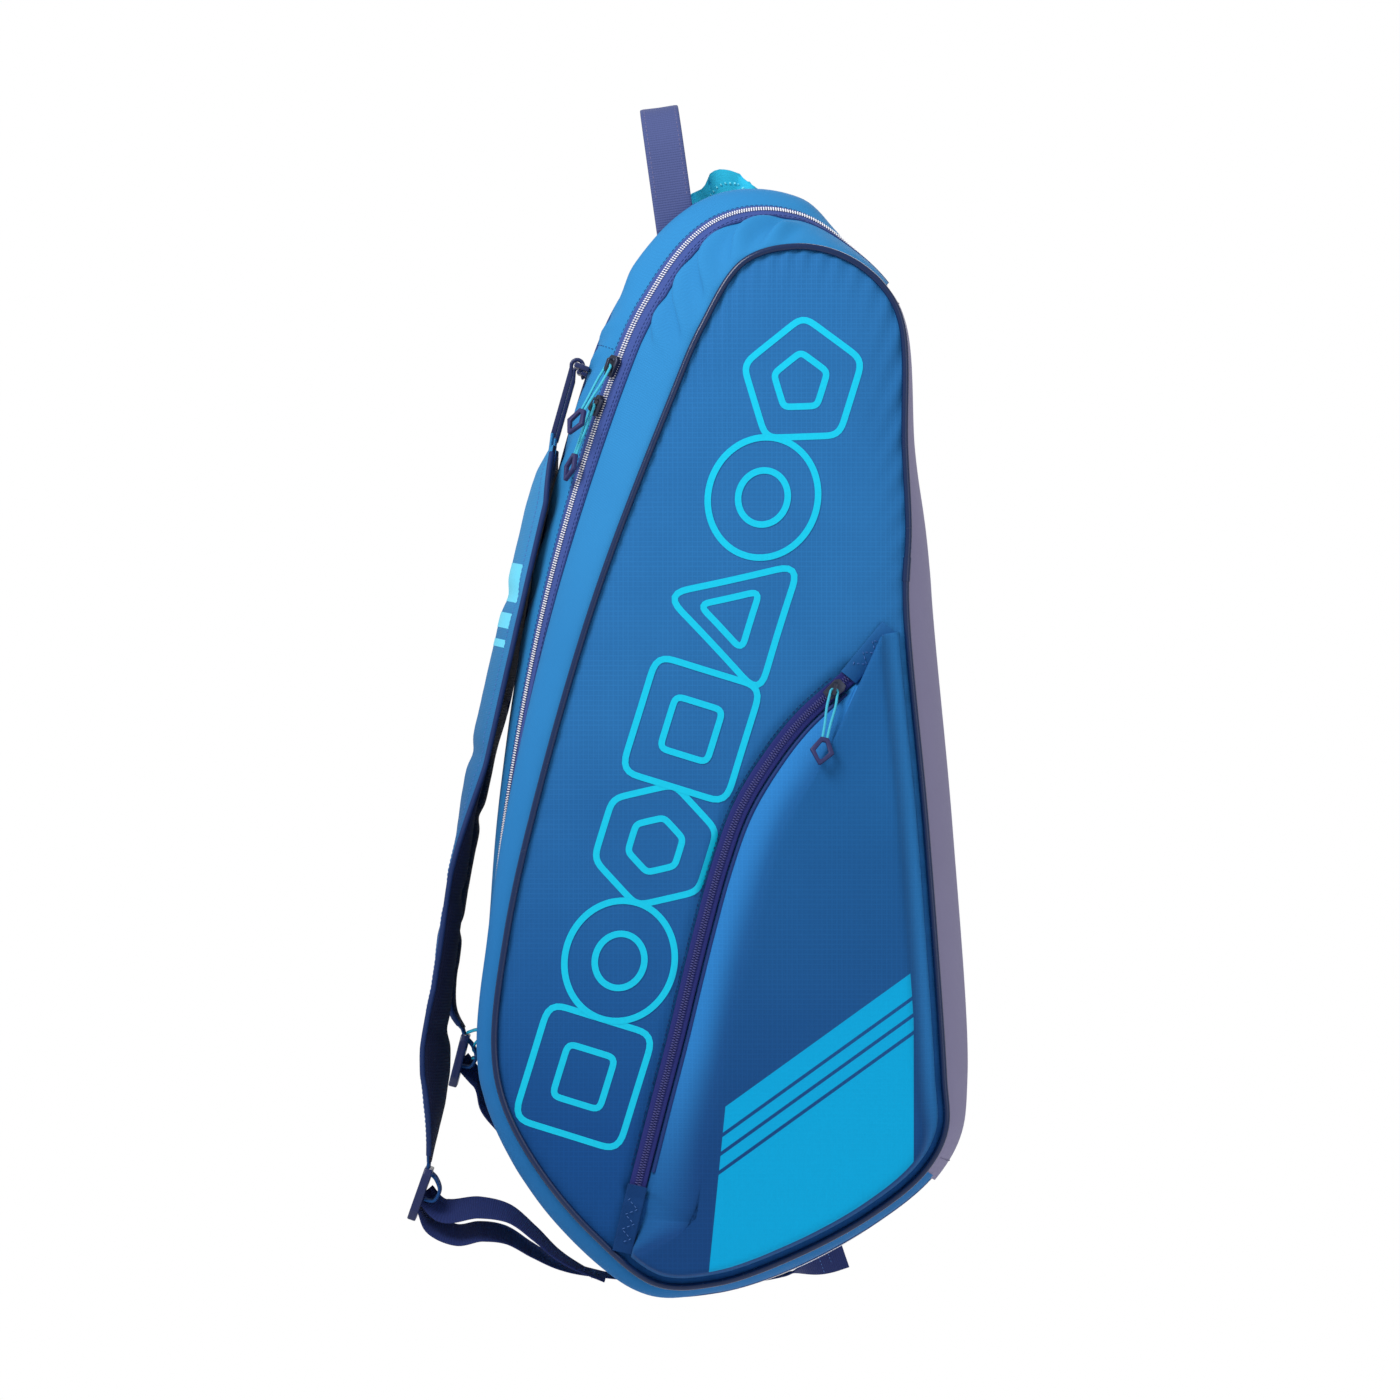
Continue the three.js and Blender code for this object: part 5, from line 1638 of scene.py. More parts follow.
@dataclass
class Pull:
    """A zip slider with its looped cord and ring tab."""

    key: str                         # such as near_upper
    cord_radius: float = 0.95

    def crown(self) -> tuple[Array, Array, Array, Array]:
        """Where the cord passes the slider's crown, and the ways along its pin, down and out."""
        joint = joint_of(f"{self.key}_pull_swing")
        crown = to_bag(joint["pos_m"])
        pin = unit(np.array(joint["axis"], float))
        low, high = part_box(f"{self.key}_pull_tab")
        hang = to_bag((low + high) / 2) - crown
        hang = unit(hang - (hang @ pin) * pin)
        return crown, pin, hang, np.cross(pin, hang)

    def loop(self) -> Array:
        """The cord's run, from the tab up one strand, round the crown and back down."""
        crown, pin, hang, _ = self.crown()
        half = 2.55
        length = 37.5
        strand = ((half * 0.62, length), (half * 0.75, length * 0.7), (half + 0.35, length * 0.36),
                  (half, half + 1.4))
        around = [(half * math.sin(a), half * (1 - math.cos(a)) - 0.2)
                  for a in np.radians((64, 34, 0, -34, -64))]
        flat = [*strand, *around, *((-x, y) for x, y in reversed(strand))]
        spots = catmull(np.array(flat), np.linspace(0, len(flat) - 1, 46), even=False)
        return crown + spots[:, :1] * pin + spots[:, 1:] * hang

    def build(self) -> None:
        """Makes the slider, cord and tab."""
        slider = rounded_copy(f"{self.key}_slider_casting", f"{self.key}_slider", Finish.METAL, 0.45)
        fit(slider, f"{self.key}_slider", "slider_metal", f"{self.key}_slider")
        run = self.loop()
        cord = curve_object(f"{self.key}_pull_loop", run)
        cord.data.bevel_depth = self.cord_radius * MM
        cord.data.bevel_resolution = 3
        cord.data.use_fill_caps = True
        cord.data.materials.append(Finish.CORD.material)
        tab = rounded_copy(f"{self.key}_ring_tab", f"{self.key}_pull_tab", Finish.TAB, 0.6)
        fit(tab, f"{self.key}_pull", "pull_tab", f"{self.key}_pull_tab")
        fit(cord, f"{self.key}_pull", "pull_cord", f"{self.key}_pull_cord")


# ---------------------------------------------------------------- shoulder straps

# How each strap and its webbing hang beside the bag: outline place, and distance clear of it.
STRAP_RUN = {
    Side.NEAR: ((21.57, 9.6), (21.4, 10.4), (21.15, 10.4), (20.85, 11.5), (20.55, 14.5), (20.15, 20),
                (19.78, 24.3), (19.38, 27.8), (18.8, 31), (18.25, 33.4), (17.35, 40), (16.68, 57.9)),
    Side.FAR: ((21.57, 9.6), (21.4, 10.4), (21.15, 10.4), (20.85, 11.2), (20.55, 13.8), (20.15, 18.3),
               (19.78, 23.4), (19.38, 28), (18.8, 32.5), (18.42, 32.5), (18.2, 27), (18.07, 19.5)),
}
WEBBING_RUN = {
    Side.NEAR: ((16.17, 64), (15.98, 41), (15.76, 26.5), (15.42, 20.5), (15.11, 18), (14.79, 15),
                (14.49, 12)),
    Side.FAR: ((17.33, 14), (16.97, 12.5), (16.64, 7), (16.27, 4), (15.88, 3.6), (15.5, 4),
               (15.14, 4.4)),
}
TAIL_RUN = (
    (16.13, 76, -44), (15.89, 65.5, -42), (15.77, 49.5, -38), (15.6, 38, -32), (15.31, 31, -24),
    (15.01, 24.5, -15), (14.64, 16.5, -7), (14.13, 4.5, -1), (13.26, 3.0, 0), (12.59, 6.5, 0),
    (12.08, 11, 0), (11.5, 16.5, 0),
)


def beside_bag(place: float, clear: float, y: float) -> Array:
    """A point a distance clear of the gusset's crest."""
    return BAG.at(np.array(place), BAG.flare(np.array(place)) + clear, y)


def smooth_path(points: Sequence[Array], count: int) -> Array:
    """Evenly spaced points of a smooth line through a few."""
    points = np.array(points)
    trial = catmull(points, np.linspace(0, len(points) - 1, 600))
    run = lengths(trial)
    at = np.linspace(0, run[-1], count)
    return read_row(at, run, trial)


@dataclass
class Strap(SidePart):
    """A padded shoulder strap with its hook, anchor ring and ladder lock."""

    rows: int = 190
    half_points: int = 24
    pinches: tuple[float, ...] = (0.215, 0.435, 0.63, 0.82)      # sewn channels, by share of length
    arch: float = 4.5
    # the lower loops, as steps from the ladder lock's hinge
    lock_loop: tuple[tuple[float, float, float], ...] = (
        (0.5, 0.0, 1.0), (5.5, 0.0, -5.0), (8.0, 0.0, -13.0), (4.0, 0.0, -20.0), (-2.5, 0.0, -19.0))
    spare_loop: tuple[tuple[float, float, float], ...] = (
        (1.5, 0.0, 4.0), (9.0, 0.0, 6.0), (17.0, 0.0, 2.0), (16.0, 0.0, -4.0), (9.0, 0.0, -2.0),
        (6.0, 0.0, -8.0), (13.0, 0.0, -13.0), (5.0, 0.0, -14.0))
    # how far the strap's width turns to show its inner face, by share of its length
    lean: tuple[tuple[float, float], ...] = (
        (0, -0.12), (0.45, -0.13), (0.6, 0.02), (0.76, 0.05), (0.88, 0.3), (1, 0.12))

    def path(self) -> Array:
        """The strap's middle line."""
        y = self.side.value * STRAP_Y
        return smooth_path([beside_bag(p, c, y) for p, c in STRAP_RUN[self.side]], self.rows)

    def sections(self, grow: float = 0.0, spread: float = 0.0) -> Array:
        """The strap's sections, perhaps grown thicker or wider."""
        path = self.path()
        t = np.linspace(0, 1, self.rows)
        full = np.clip(np.minimum(t / 0.08, (1 - t) / 0.16), 0, 1)
        width = STRAP_NECK + (STRAP_WIDTH - STRAP_NECK) * np.sin(full * math.pi / 2) + spread
        pinch = sum(np.exp(-((t - p) * 62) ** 2) for p in self.pinches)
        thick = WEBBING_T + 1.6 + (STRAP_T - WEBBING_T - 1.2) * np.clip(full * 2, 0, 1)
        thick = thick * (1 - 0.45 * pinch) + grow
        lean = np.interp(t, *np.array(self.lean).T) * full
        side_way = np.stack([np.sin(lean) * 1.0, np.cos(lean), 0 * t], axis=1)
        if self.side is Side.FAR:
            side_way[:, 0] *= -1
        arch = self.arch * (2 * smooth_step(t, 0.42, 0.62) - 1) * full
        return band(path, side_way, width, thick, corner=0.75, points=self.half_points,
                    arch=arch[:, None])

    def pad(self) -> None:
        """The padded strap: cloth outside, open mesh inside, bound edges and sewn channels."""
        rings = self.sections()
        count = rings.shape[1]
        outward = unit(BAG.at(np.array(20.0), 1.0, 0.0) - BAG.at(np.array(20.0), 0.0, 0.0))
        way = (rings[self.rows // 2, count // 4] - rings[self.rows // 2, 3 * count // 4]) @ outward
        facing = np.sin(np.linspace(0, 2 * math.pi, count, endpoint=False)) * np.sign(way)
        spot = rings * np.array([1.0, 1.0, 1.0])
        bumps = 0.5 * cloud(spot, 26.0, 2.2) + 0.25 * cloud(spot, 9.0, 6.2)
        centre = rings.mean(axis=1, keepdims=True)
        rings = rings + unit(rings - centre) * bumps[..., None]
        inside = np.broadcast_to((facing < -0.12) * 1.0, rings.shape[:2])
        pad = loft(self.name("strap_pad"), rings, extra={"inside": inside})
        dress(pad, Finish.STRAP, Finish.STRAP_NET)
        inner = np.zeros(len(pad.data.polygons), np.int32)
        marks = np.zeros(len(pad.data.vertices), np.float32)
        pad.data.attributes["inside"].data.foreach_get("value", marks)
        for polygon in pad.data.polygons:
            inner[polygon.index] = sum(marks[v] for v in polygon.vertices) > 2
        pad.data.polygons.foreach_set("material_index", inner)
        fit(pad, self.name("strap"), "strap_fabric", self.name("shoulder_strap"))
        self.bindings(rings, facing)
        self.marks(rings, facing)

    def bindings(self, rings: Array, facing: Array) -> None:
        """The bound edges and the stitches beside them."""
        count = rings.shape[1]
        bound = []
        for label, column in (("a", 0), ("b", count // 2)):
            line = rings[2:-2, column]
            way = unit(line - rings[2:-2].mean(axis=1))
            bound.append(SWEEP.run(self.name(f"strap_binding_{label}"), line - way * 0.7, 1.9,
                                   Finish.WEBBING_EDGE, sides=10))
        outer = int(np.argmax(facing))
        offset = max(3, count // 9)
        for label, column in (("a", 0), ("b", count // 2)):
            step = 1 if (outer - column) % count < count // 2 else -1
            column = (column + step * offset) % count
            line = rings[4:-4, column]
            up = unit(line - rings[4:-4].mean(axis=1))
            bound.append(STITCHER.sew(self.name(f"strap_seam_{label}"), line, up, Finish.PALE_THREAD))
        binding = join_meshes(self.name("strap_binding"), bound)
        fit(binding, self.name("strap"), "strap_fabric")

    def marks(self, rings: Array, facing: Array) -> None:
        """A few plain printed bars on the strap's outer face."""
        count = rings.shape[1]
        outer = int(np.argmax(facing))
        columns = [(outer + step) % count for step in (-7, -5, -3, -1, 1, 3, 5, 7)]
        printed = []
        for index, (start, end) in enumerate(((0.17, 0.225), (0.24, 0.26), (0.275, 0.285))):
            first = int(start * self.rows)
            rows = np.arange(first, max(int(end * self.rows), first + 2) + 1)
            top = rings[rows][:, columns]
            out = unit(top - rings[rows].mean(axis=1)[:, None])
            strip = np.concatenate([top + out * 0.35, (top - out * 0.3)[:, ::-1]], axis=1)
            printed.append(loft(self.name(f"strap_mark_{index}"), strip))
        mark = join_meshes(self.name("strap_marks"), printed)
        fit(dress(mark, Finish.MARK_INK), self.name("strap"), "cyan_fabric")

    def fittings(self) -> None:
        """The hook, its ring and the ladder lock."""
        for node, piece, body in (
                ("strap_hook", "hook_moulding", "strap"), ("strap_anchor", "anchor_moulding", "root"),
                ("ladder_lock", "ladder_lock_moulding", "ladder_lock")):
            made = rounded_copy(self.name(piece), self.name(node), Finish.BUCKLE, 0.9, steps=3)
            home = body if body == "root" else self.name(body)
            fit(made, home, "buckle_plastic", self.name(node))

    def loops(self) -> None:
        """The webbing loops that hold the hook and the ladder lock."""
        path = self.path()
        hook = to_bag(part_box(self.name("strap_hook"))[0])
        lock = to_bag(joint_of(self.name("ladder_lock_tilt"))["pos_m"])
        across = np.array([0.0, 1.0, 0.0])
        runs = {"hook": [path[4], np.array([hook[0] + 1.8, path[0, 1], hook[2] + 3.0])],
                "lock": [path[-7], path[-2]] + [lock + np.array(step) for step in self.lock_loop]}
        for label, points in runs.items():
            line = smooth_path(points, 40)
            rings = band(line, across + 0 * line, STRAP_NECK - 2, 2.6, corner=0.5)
            loop = dress(loft(self.name(f"strap_{label}_loop"), rings), Finish.STRAP)
            fit(loop, self.name("strap"), "strap_fabric")
        if self.side is Side.FAR:
            line = smooth_path([lock + np.array(step) for step in self.spare_loop], 60)
            rings = band(line, across + 0 * line, STRAP_NECK - 5, 2.0, corner=0.5)
            spare = loft(self.name("strap_spare_loop"), rings)
            fit(dress(spare, Finish.LINING), self.name("strap"), "cyan_fabric")

    def build(self) -> None:
        """Makes the strap and its fittings."""
        self.pad()
        self.loops()
        self.fittings()


@dataclass
class Webbing:
    """The flat webbing between the ladder locks and the foot of the bag."""

    edge_round: float = 0.3

    def strip(self, name: str, points: Sequence[Array], lean: Callable[[Array], Array],
              count: int = 120) -> tuple[bpy.types.Object, Array, Array]:
        """A ribbed band along points, with its path and its width's direction."""
        path = smooth_path(points, count)
        t = np.linspace(0, 1, count)
        way = np.stack([0 * t, 1 + 0 * t, lean(t)], axis=1)
        rings = band(path, way, WEBBING_WIDTH, WEBBING_T, corner=self.edge_round, points=12)
        wave = np.sin(lengths(path) * 0.09)[:, None, None] * np.array([0.5, 0.0, 0.3])
        return loft(name, rings + wave * np.sin(t * math.pi)[:, None, None]), path, way

    def sewn_end(self, name: str, path: Array, way: Array, at: int) -> bpy.types.Object:
        """A box of stitches across a band's end."""
        ahead = unit(path[at + 1] - path[at])
        side = unit(way[at] - (way[at] @ ahead) * ahead)
        out = np.cross(ahead, side)
        rows = []
        for face in (1, -1):
            for shift in (0.0, 7.0):
                share = np.linspace(-0.4, 0.4, 20)[:, None]
                line = path[at] + ahead * shift + side * share * WEBBING_WIDTH
                rows.append(STITCHER.sew(f"{name}_{face}_{int(shift)}", line + out * face * WEBBING_T / 2,
                                         out * face, Finish.PALE_THREAD))
        return join_meshes(name, rows)

    def build(self) -> None:
        """Makes both lower webbings and the loose tail."""
        for side in Side:
            centre = side.value * (STRAP_Y + 2)
            points = [self.lock(side, 0.0), *(beside_bag(p, c, centre) for p, c in WEBBING_RUN[side])]
            piece, path, way = self.strip(f"{side.label}_webbing_band", points, lambda t: 0.9 * (1 - t))
            self.hang(piece, side, path, f"{side.label}_lower_webbing")
            ends = self.sewn_end(f"{side.label}_webbing_stitches", path, way, len(path) - 14)
            fit(ends, "root", "webbing")
        points = [self.lock(Side.NEAR, -7.0), *(beside_bag(p, c, y) for p, c, y in TAIL_RUN)]
        piece, path, way = self.strip(
            "webbing_loose_tail", points,
            lambda t: 0.8 * np.maximum(0, 1 - 2 * t) - 1.3 * smooth_step(t, 0.86, 0.98), count=200)
        self.hang(piece, Side.NEAR, path, "webbing_tail")
        fit(self.sewn_end("webbing_tail_stitches", path, way, len(path) - 12), "root", "webbing")

    @staticmethod
    def lock(side: Side, drop: float) -> Array:
        """Where a band comes out of a ladder lock, perhaps below its middle."""
        low, high = (to_bag(corner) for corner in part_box(f"{side.label}_ladder_lock"))
        middle = (low + high) / 2
        return middle + np.array([2.0 + drop * 0.3, 0.0, drop])

    @staticmethod
    def hang(piece: bpy.types.Object, side: Side, path: Array, node: str) -> None:
        """Dresses a band, fixes its place in its mesh and hides the CAD node that it stands for."""
        dress(piece, Finish.WEBBING)
        bend(piece, "webbing", ("root", f"{side.label}_strap"), to_frame(path[len(path) // 2]),
             to_frame(path[0]), node)


# ---------------------------------------------------------------- middle of the bag

@dataclass
class Middle:
    """The dividers, the recessed cyan band and the gear compartment's loose mouth."""

    # the mouth's edge: outline place, and height over the sunken band
    lip: tuple[tuple[float, float], ...] = (
        (23.7, 16), (23.85, 30), (24.0, 35), (24.17, 36), (24.22, 41), (24.28, 46), (24.4, 44),
        (24.5, 36), (24.6, 29), (24.7, 23), (25.1, 15), (25.7, 8), (26, 0), (27, 0))
    crumple: float = 7.0
    bulges: tuple[tuple[float, float], ...] = ((17.85, 18.2), (23.3, 23.6))   # where it peeps out
    cloth: float = 1.1

    def band(self) -> None:
        """The cyan cloth between the compartments, sunk below them."""
        depth = DIVIDER_Y - DIVIDER_T - GAP
        places = spaced(HEEL, MOUTH_START, 5.0, BAG.line)
        across = np.linspace(-depth, depth, 25)
        where, y = np.meshgrid(places, across, indexing="ij")
        spot = np.stack([where * 26, y, 0 * y], axis=-1)
        puff = 2.4 * cloud(spot, 26.0, 7.7) + 1.2 * cloud(spot, 10.0, 2.7) - 1.5 * (y / depth) ** 2
        for start, end in self.bulges:
            puff = puff + (VALLEY + 1.5) * window(where, start, end, 0.16) * (1 - (y / depth) ** 2)
        offset = BAG.flare(where) - VALLEY
        outer = BAG.at(where, offset + puff, y)
        inner = BAG.at(where, offset - WALL, y)
        piece = shell("middle_cloth", outer, inner)
        fit(dress(piece, Finish.LINING), "root", "cyan_fabric", "middle_band")

    def boards(self) -> None:
        """The two padded divider boards, their rims bound in piping."""
        for side in Side:
            share = np.linspace(0, 1, 150)
            halves = []
            for end in (TOP_PLACE - TURN, TOP_PLACE):
                trial = np.linspace(FOOT_PLACE, end, 700)
                line = BAG.at(trial, self.board_edge(trial), 0 * trial)
                run = lengths(line)
                halves.append(read_row(share * run[-1], run, line))
            across = np.linspace(0, 1, 40)[None, :, None]
            sheet = halves[1][:, None] + (halves[0] - halves[1])[:, None] * across
            spot = sheet * np.array([1, 0, 1])
            quilt = 0.5 * np.abs(np.sin(sheet[..., 0] / 38) * np.sin(sheet[..., 2] / 38)) ** 0.5
            outer, inner = sheet.copy(), sheet.copy()
            lump = 0.4 * cloud(spot, 60.0, 1.1) - 0.3
            outer[..., 1] = side.value * (DIVIDER_Y + np.minimum(quilt + lump, 0.35))
            inner[..., 1] = side.value * (DIVIDER_Y - DIVIDER_T)
            board = shell(f"{side.label}_divider_board", outer, inner, layout=Layout.FLAT)
            fit(dress(board, Finish.BOARD), "root", "divider_fabric", f"{side.label}_divider")
            places = spaced(HEEL + 0.1, WRAP - 0.1, 3.0, BAG.line)
            line = BAG.at(places, BAG.flare(places) + 0.3, side.value * (DIVIDER_Y - DIVIDER_T / 2 + 0.3))
            rim = SWEEP.run(f"{side.label}_divider_binding", line, 2.2, Finish.BINDING, sides=10)
            fit(rim, "root", "divider_fabric")

    @staticmethod
    def board_edge(place: Array) -> Array:
        """How far outside the piping line a board reaches at places."""
        turned = np.mod(place, TURN)
        flare = BAG.flare(place)
        return np.where((turned >= SHOULDER) & (turned <= HEEL), flare - WALL - GAP, flare)

    def lips(self) -> None:
        """The mouth's two loose edges of crumpled cloth, with their zip coil."""
        depth = DIVIDER_Y - DIVIDER_T - GAP
        tooth = small_shape("gear_tooth", (2.2, 0.6, 1.0), rings=2, sides=6, fullness=1)
        for side in Side:
            places = spaced(self.lip[0][0], WRAP, 1.4, BAG.line)
            tall = 1.0 if side is Side.NEAR else 0.88
            rise = tall * np.interp(places - 0.6 * (1 - tall), *np.array(self.lip).T)
            rise = np.convolve(np.pad(rise, 1, mode="edge"), np.ones(3) / 3, mode="valid")
            across = np.linspace(0, 1, 52)
            where, climb = np.meshgrid(places, across, indexing="ij")
            height = np.broadcast_to(rise[:, None], where.shape)
            bend = np.clip((climb - 0.45) / 0.55, 0, 1)
            y = depth - (depth - 9.5) * np.minimum(climb / 0.62, 1) ** 0.8
            lift = height * bend ** 1.15
            spot = np.stack([where * 70, y * 0.9 + climb * 26, side.value * 30 + 0 * y], axis=-1)
            size = np.minimum(1, height / 14) * np.minimum(1, climb / 0.3)
            lumps = cloud(spot, 24.0, 9.0)
            folds = np.abs(np.sin(where * 16.0 - 3.4 * climb + 1.8 * lumps + side.value)) ** 0.7
            wrinkle = self.crumple * size * (folds - 0.55 + 0.5 * lumps)
            offset = BAG.flare(where) - VALLEY + lift + 1.8 * size * (lumps + 0.5 - folds)
            y_at = side.value * np.clip(y + wrinkle * bend, 2.4, depth)
            outer = BAG.at(where, offset, y_at)
            ahead = np.gradient(outer, axis=0)
            sideways = np.gradient(outer, axis=1)
            out = unit(np.cross(ahead, sideways))
            inner = outer + out * self.cloth
            sheet = shell(f"{side.label}_mouth_cloth", outer, inner)
            fit(dress(sheet, Finish.LINING), "root", "cyan_fabric", f"{side.label}_mouth_lip")
            edge = outer[6:-6, -7] + np.array([0.0, side.value * 2.4, 0.0])
            run = np.gradient(edge, axis=0)
            up = BAG.outward(places[6:-6])
            up = np.stack([up[:, 0], 0 * up[:, 0], up[:, 1]], axis=1)
            coil = REPEAT.run(f"{side.label}_mouth_coil", edge - np.array([0, side.value * 1.4, 0]),
                              np.cross(up, run), up, tooth, Finish.CYAN_COIL, spread=0.05)
            fit(coil, "root", "cyan_fabric")

    @staticmethod
    def area(points: Array) -> float:
        """Area of a sheet of points, in square metres."""
        a = points[1:, :-1] - points[:-1, :-1]
        b = points[:-1, 1:] - points[:-1, :-1]
        return float(np.linalg.norm(np.cross(a, b), axis=-1).sum()) * MM * MM

    def slider(self) -> None:
        """The gear zip's slider at the spine end."""
        made = rounded_copy("gear_slider_casting", "gear_slider", Finish.METAL, 0.45)
        fit(made, "root", "slider_metal", "gear_slider")

    def build(self) -> None:
        """Makes the whole middle."""
        self.band()
        self.boards()
        self.lips()
        self.slider()


@dataclass
class Spine:
    """The grey padded panel along the back."""

    channels: tuple[float, ...] = (-62.0, 62.0)
    channel_depth: float = 4.2
    puff: float = 3.4

    def build(self) -> None:
        """Makes the panel, its channels' stitches and the seam at its foot."""
        places = spaced(SHOULDER - 0.05, HEEL + 0.05, 4.0, BAG.crest)
        depths = np.linspace(-LID_EDGE, LID_EDGE, 75)
        where, y = np.meshgrid(places, depths, indexing="ij")
        sunk = sum(np.exp(-((y - c) / 4.5) ** 2) for c in self.channels)
        edge = 1 - np.exp(-(LID_EDGE - np.abs(y)) / 8)
        spot = np.stack([where * 60, y, 0 * y], axis=-1)
        gather = 0.5 * np.sin(where * 42.0) * (sunk + 0.3 * np.exp(-(LID_EDGE - np.abs(y)) / 6))
        swell = 0.2 + 0.8 * smooth_step(where, 3.2, 6.0)
        puff = self.puff * swell * edge - 1.6 * (1 - swell) - self.channel_depth * sunk
        puff = np.maximum(puff + 0.8 * cloud(spot, 50.0, 3.3) + gather, 1.7 - WALL)
        offset = BAG.gusset(where, y)
        outer = BAG.at(where, offset + puff - 0.8, y)
        inner = BAG.at(where, offset - WALL, y)
        panel = shell("spine_padding", outer, inner, lined=True)
        fit(dress(panel, Finish.SPINE), "root", "spine_fabric", "spine_panel")
        rows = []
        for index, channel in enumerate(self.channels):
            column = int(np.argmin(np.abs(depths - channel)))
            line = outer[3:-3, column]
            up = unit(line - inner[3:-3, column])
            rows.append(STITCHER.sew(f"spine_stitch_{index}", line, up, Finish.GREY_THREAD, lift=0.3))
        for row in (4, len(places) - 5):
            line = outer[row, 2:-2]
            up = unit(line - inner[row, 2:-2])
            rows.append(STITCHER.sew(f"spine_end_{row}", line, up, Finish.GREY_THREAD, lift=0.3))
        fit(join_meshes("spine_stitches", rows), "root", "spine_fabric")


# ---------------------------------------------------------------- grab handle

@dataclass
class Handle:
    """The grab handle of doubled webbing and the patches that it is sewn through."""

    width: float = 27.0
    thickness: float = 4.0
    half_span: float = 45.0
    height: float = 77.0
    lean: float = math.radians(8)
    arch: tuple[tuple[float, float], ...] = (
        (-1, -0.13), (-1.02, 0.35), (-0.93, 0.72), (-0.62, 0.95), (0, 1),
        (0.62, 0.95), (0.93, 0.72), (1.02, 0.35), (1, -0.13))

    def loop(self) -> tuple[Array, Array]:
        """The handle's middle line and its width's direction."""
        hinge = to_bag(joint_of("handle_lean")["pos_m"])
        up = np.array([-math.sin(self.lean), 0.0, math.cos(self.lean)])
        across = np.array([math.cos(self.lean), 0.0, math.sin(self.lean)])
        points = [hinge + up * z * self.height + np.array([0, y * self.half_span, 0]) for y, z in self.arch]
        return smooth_path(points, 150), across

    def build(self) -> None:
        """Makes the handle, its edge stitches and its patches."""
        path, across = self.loop()
        rings = band(path, across + 0 * path, self.width, self.thickness, corner=0.3, points=16, arch=0.7)
        band_piece = loft("grab_handle_webbing", rings)
        dress(band_piece, Finish.HANDLE)
        hinge = np.array(joint_of("handle_lean")["pos_m"])
        bend(band_piece, "handle_webbing", ("root", "handle"), hinge - np.array([0, 0, 0.008]),
             hinge + np.array([0, 0, 0.02]), "grab_handle")
        forward = unit(np.gradient(path, axis=0))
        out = np.cross(forward, across + 0 * path)
        rows = []
        for shift in (-0.40, 0.40):
            for face in (-1, 1):
                line = path[14:-14] + across * shift * self.width + out[14:-14] * face * self.thickness * 0.46
                rows.append(STITCHER.sew(f"handle_row_{shift}_{face}", line, out[14:-14] * face,
                                         Finish.GREY_THREAD, lift=0.1))
        fit(join_meshes("grab_handle_stitches", rows), "handle", "handle_webbing")
        for side in Side:
            patch = rounded_copy(f"{side.label}_handle_patch_tab", f"{side.label}_handle_patch",
                                 Finish.PATCH, 0.8, steps=3)
            fit(patch, "root", "webbing", f"{side.label}_handle_patch")
            self.cross_stitch(side)

    def cross_stitch(self, side: Side) -> None:
        """A box and cross of stitches on a patch."""
        low, high = (to_bag(corner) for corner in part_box(f"{side.label}_handle_patch"))
        place = np.array(HANDLE_PLACE)
        way = BAG.outward(place)
        out = np.array([way[0], 0.0, way[1]])
        slope = np.array([-way[1], 0.0, way[0]])
        middle = (low + high) / 2 + out * 1.7
        corners = [(-1, -1), (1, -1), (1, 1), (-1, 1), (-1, -1), (1, 1), (1, -1), (-1, 1)]
        points = [middle + slope * a * 14 + np.array([0, b * 5.0, 0]) for a, b in corners]
        line = np.concatenate([np.linspace(p, q, 12) for p, q in zip(points, points[1:])])
        row = STITCHER.sew(f"{side.label}_handle_patch_stitches", line, out, Finish.PALE_THREAD)
        fit(row, "root", "webbing")


# ---------------------------------------------------------------- studio

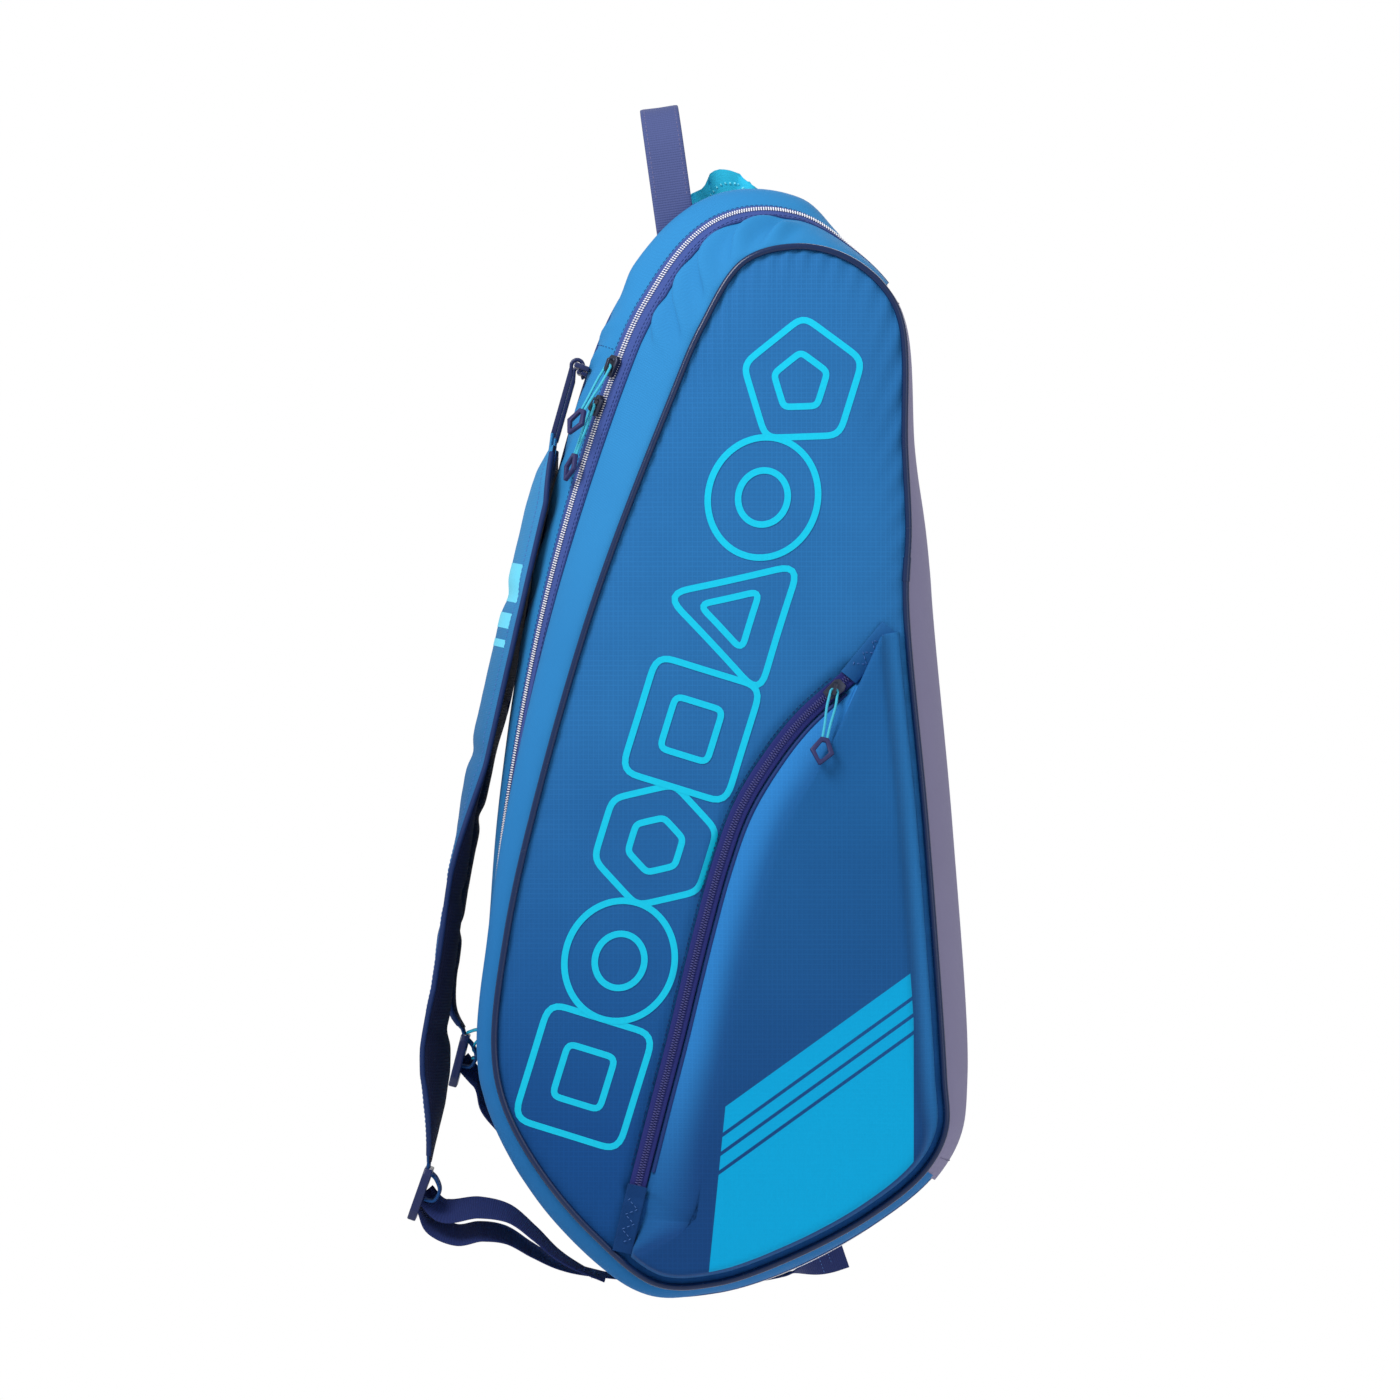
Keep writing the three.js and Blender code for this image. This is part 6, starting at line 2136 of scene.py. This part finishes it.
@dataclass
class Studio:
    """The floor, the soft lights and the camera."""

    view_height: float = 410.0       # bag's own height at the middle of the view
    view_width: float = 0.9604       # width of the view at the face of the bag, in metres
    distance: float = 4.2
    floor_drop: float = 0.46
    air: float = 0.62                # brightness of the surround as a light
    # each lamp's name, place from the bag's middle, size, power and height that it is aimed at
    lamps: tuple[tuple[str, tuple[float, float, float], float, float, float], ...] = (
        ("key_light", (-0.75, -0.95, 1.05), 0.7, 22.0, 0.3),
        ("fill_light", (1.8, -2.2, 0.4), 1.8, 14.0, 0.0),
        ("rim_light", (0.6, 2.0, 1.2), 1.6, 20.0, 0.0))

    def floor(self) -> None:
        """A plain pale floor below the hanging bag."""
        mesh = bpy.data.meshes.new("studio_floor")
        level = CAD_BOX[0][2] - self.floor_drop
        half = 3.0
        corners = [(-half, -half, level), (half, -half, level), (half, half, level), (-half, half, level)]
        mesh.from_pydata(corners, [], [(0, 1, 2, 3)])
        floor = as_object("studio_floor", mesh)
        floor.data.materials.append(Finish.FLOOR.material)

    def lamp(self, name: str, place: Vector, size: float, power: float, aim: Vector) -> None:
        """One soft square light that points at a place."""
        data = bpy.data.lights.new(name, "AREA")
        data.size = size
        data.energy = power
        lamp = bpy.data.objects.new(name, data)
        lamp.location = place
        lamp.rotation_euler = (place - aim).to_track_quat("Z", "Y").to_euler()
        bpy.context.scene.collection.objects.link(lamp)

    def light(self) -> None:
        """A pale surround and three soft lights."""
        world = bpy.data.worlds.new("studio_air")
        world.use_nodes = True
        nodes = Nodes(world.node_tree)
        seen = nodes.add("ShaderNodeLightPath")["Is Camera Ray"]
        backdrop = nodes.add("ShaderNodeBackground", None, {"Color": WHITE, "Strength": 1.0})["Background"]
        air = nodes.add("ShaderNodeBackground", None, {"Color": WHITE, "Strength": self.air})["Background"]
        either = nodes.add("ShaderNodeMixShader", None, {0: seen, 1: air, 2: backdrop})["Shader"]
        nodes.add("ShaderNodeOutputWorld", None, {"Surface": either})
        bpy.context.scene.world = world
        middle = (CAD_BOX[0] + CAD_BOX[1]) / 2
        for name, place, size, power, lift in self.lamps:
            self.lamp(name, middle + Vector(place), size, power, middle + Vector((0.0, 0.0, lift)))

    def camera(self) -> None:
        """A long lens square to the near side."""
        data = bpy.data.cameras.new("camera")
        data.sensor_width = 36.0
        data.lens = data.sensor_width * self.distance / self.view_width
        data.clip_start = 0.05
        camera = bpy.data.objects.new("camera", data)
        aim = Vector(to_frame(np.array([0.0, -HALF_DEPTH, self.view_height])))
        camera.location = aim + Vector((0, -self.distance, 0))
        camera.rotation_euler = (math.pi / 2, 0, 0)
        bpy.context.scene.collection.objects.link(camera)
        bpy.context.scene.camera = camera
        bpy.context.scene.view_settings.view_transform = "Standard"

    def build(self) -> None:
        """Sets up the studio."""
        self.camera()
        self.floor()
        self.light()


def main() -> None:
    """Builds the bag round the frame."""
    logging.basicConfig(level=logging.INFO, format="%(name)s: %(message)s")
    Studio().build()
    for side in Side:
        for zip_name in ("upper", "lower", "pocket"):
            Pull(f"{side.label}_{zip_name}").build()
    for side in Side:
        Compartment(side).build()
        FacePrint(side).build()
        Pocket(side).build()
        Strap(side).build()
    Webbing().build()
    Middle().build()
    Spine().build()
    Handle().build()


if __name__ == "__main__":
    main()
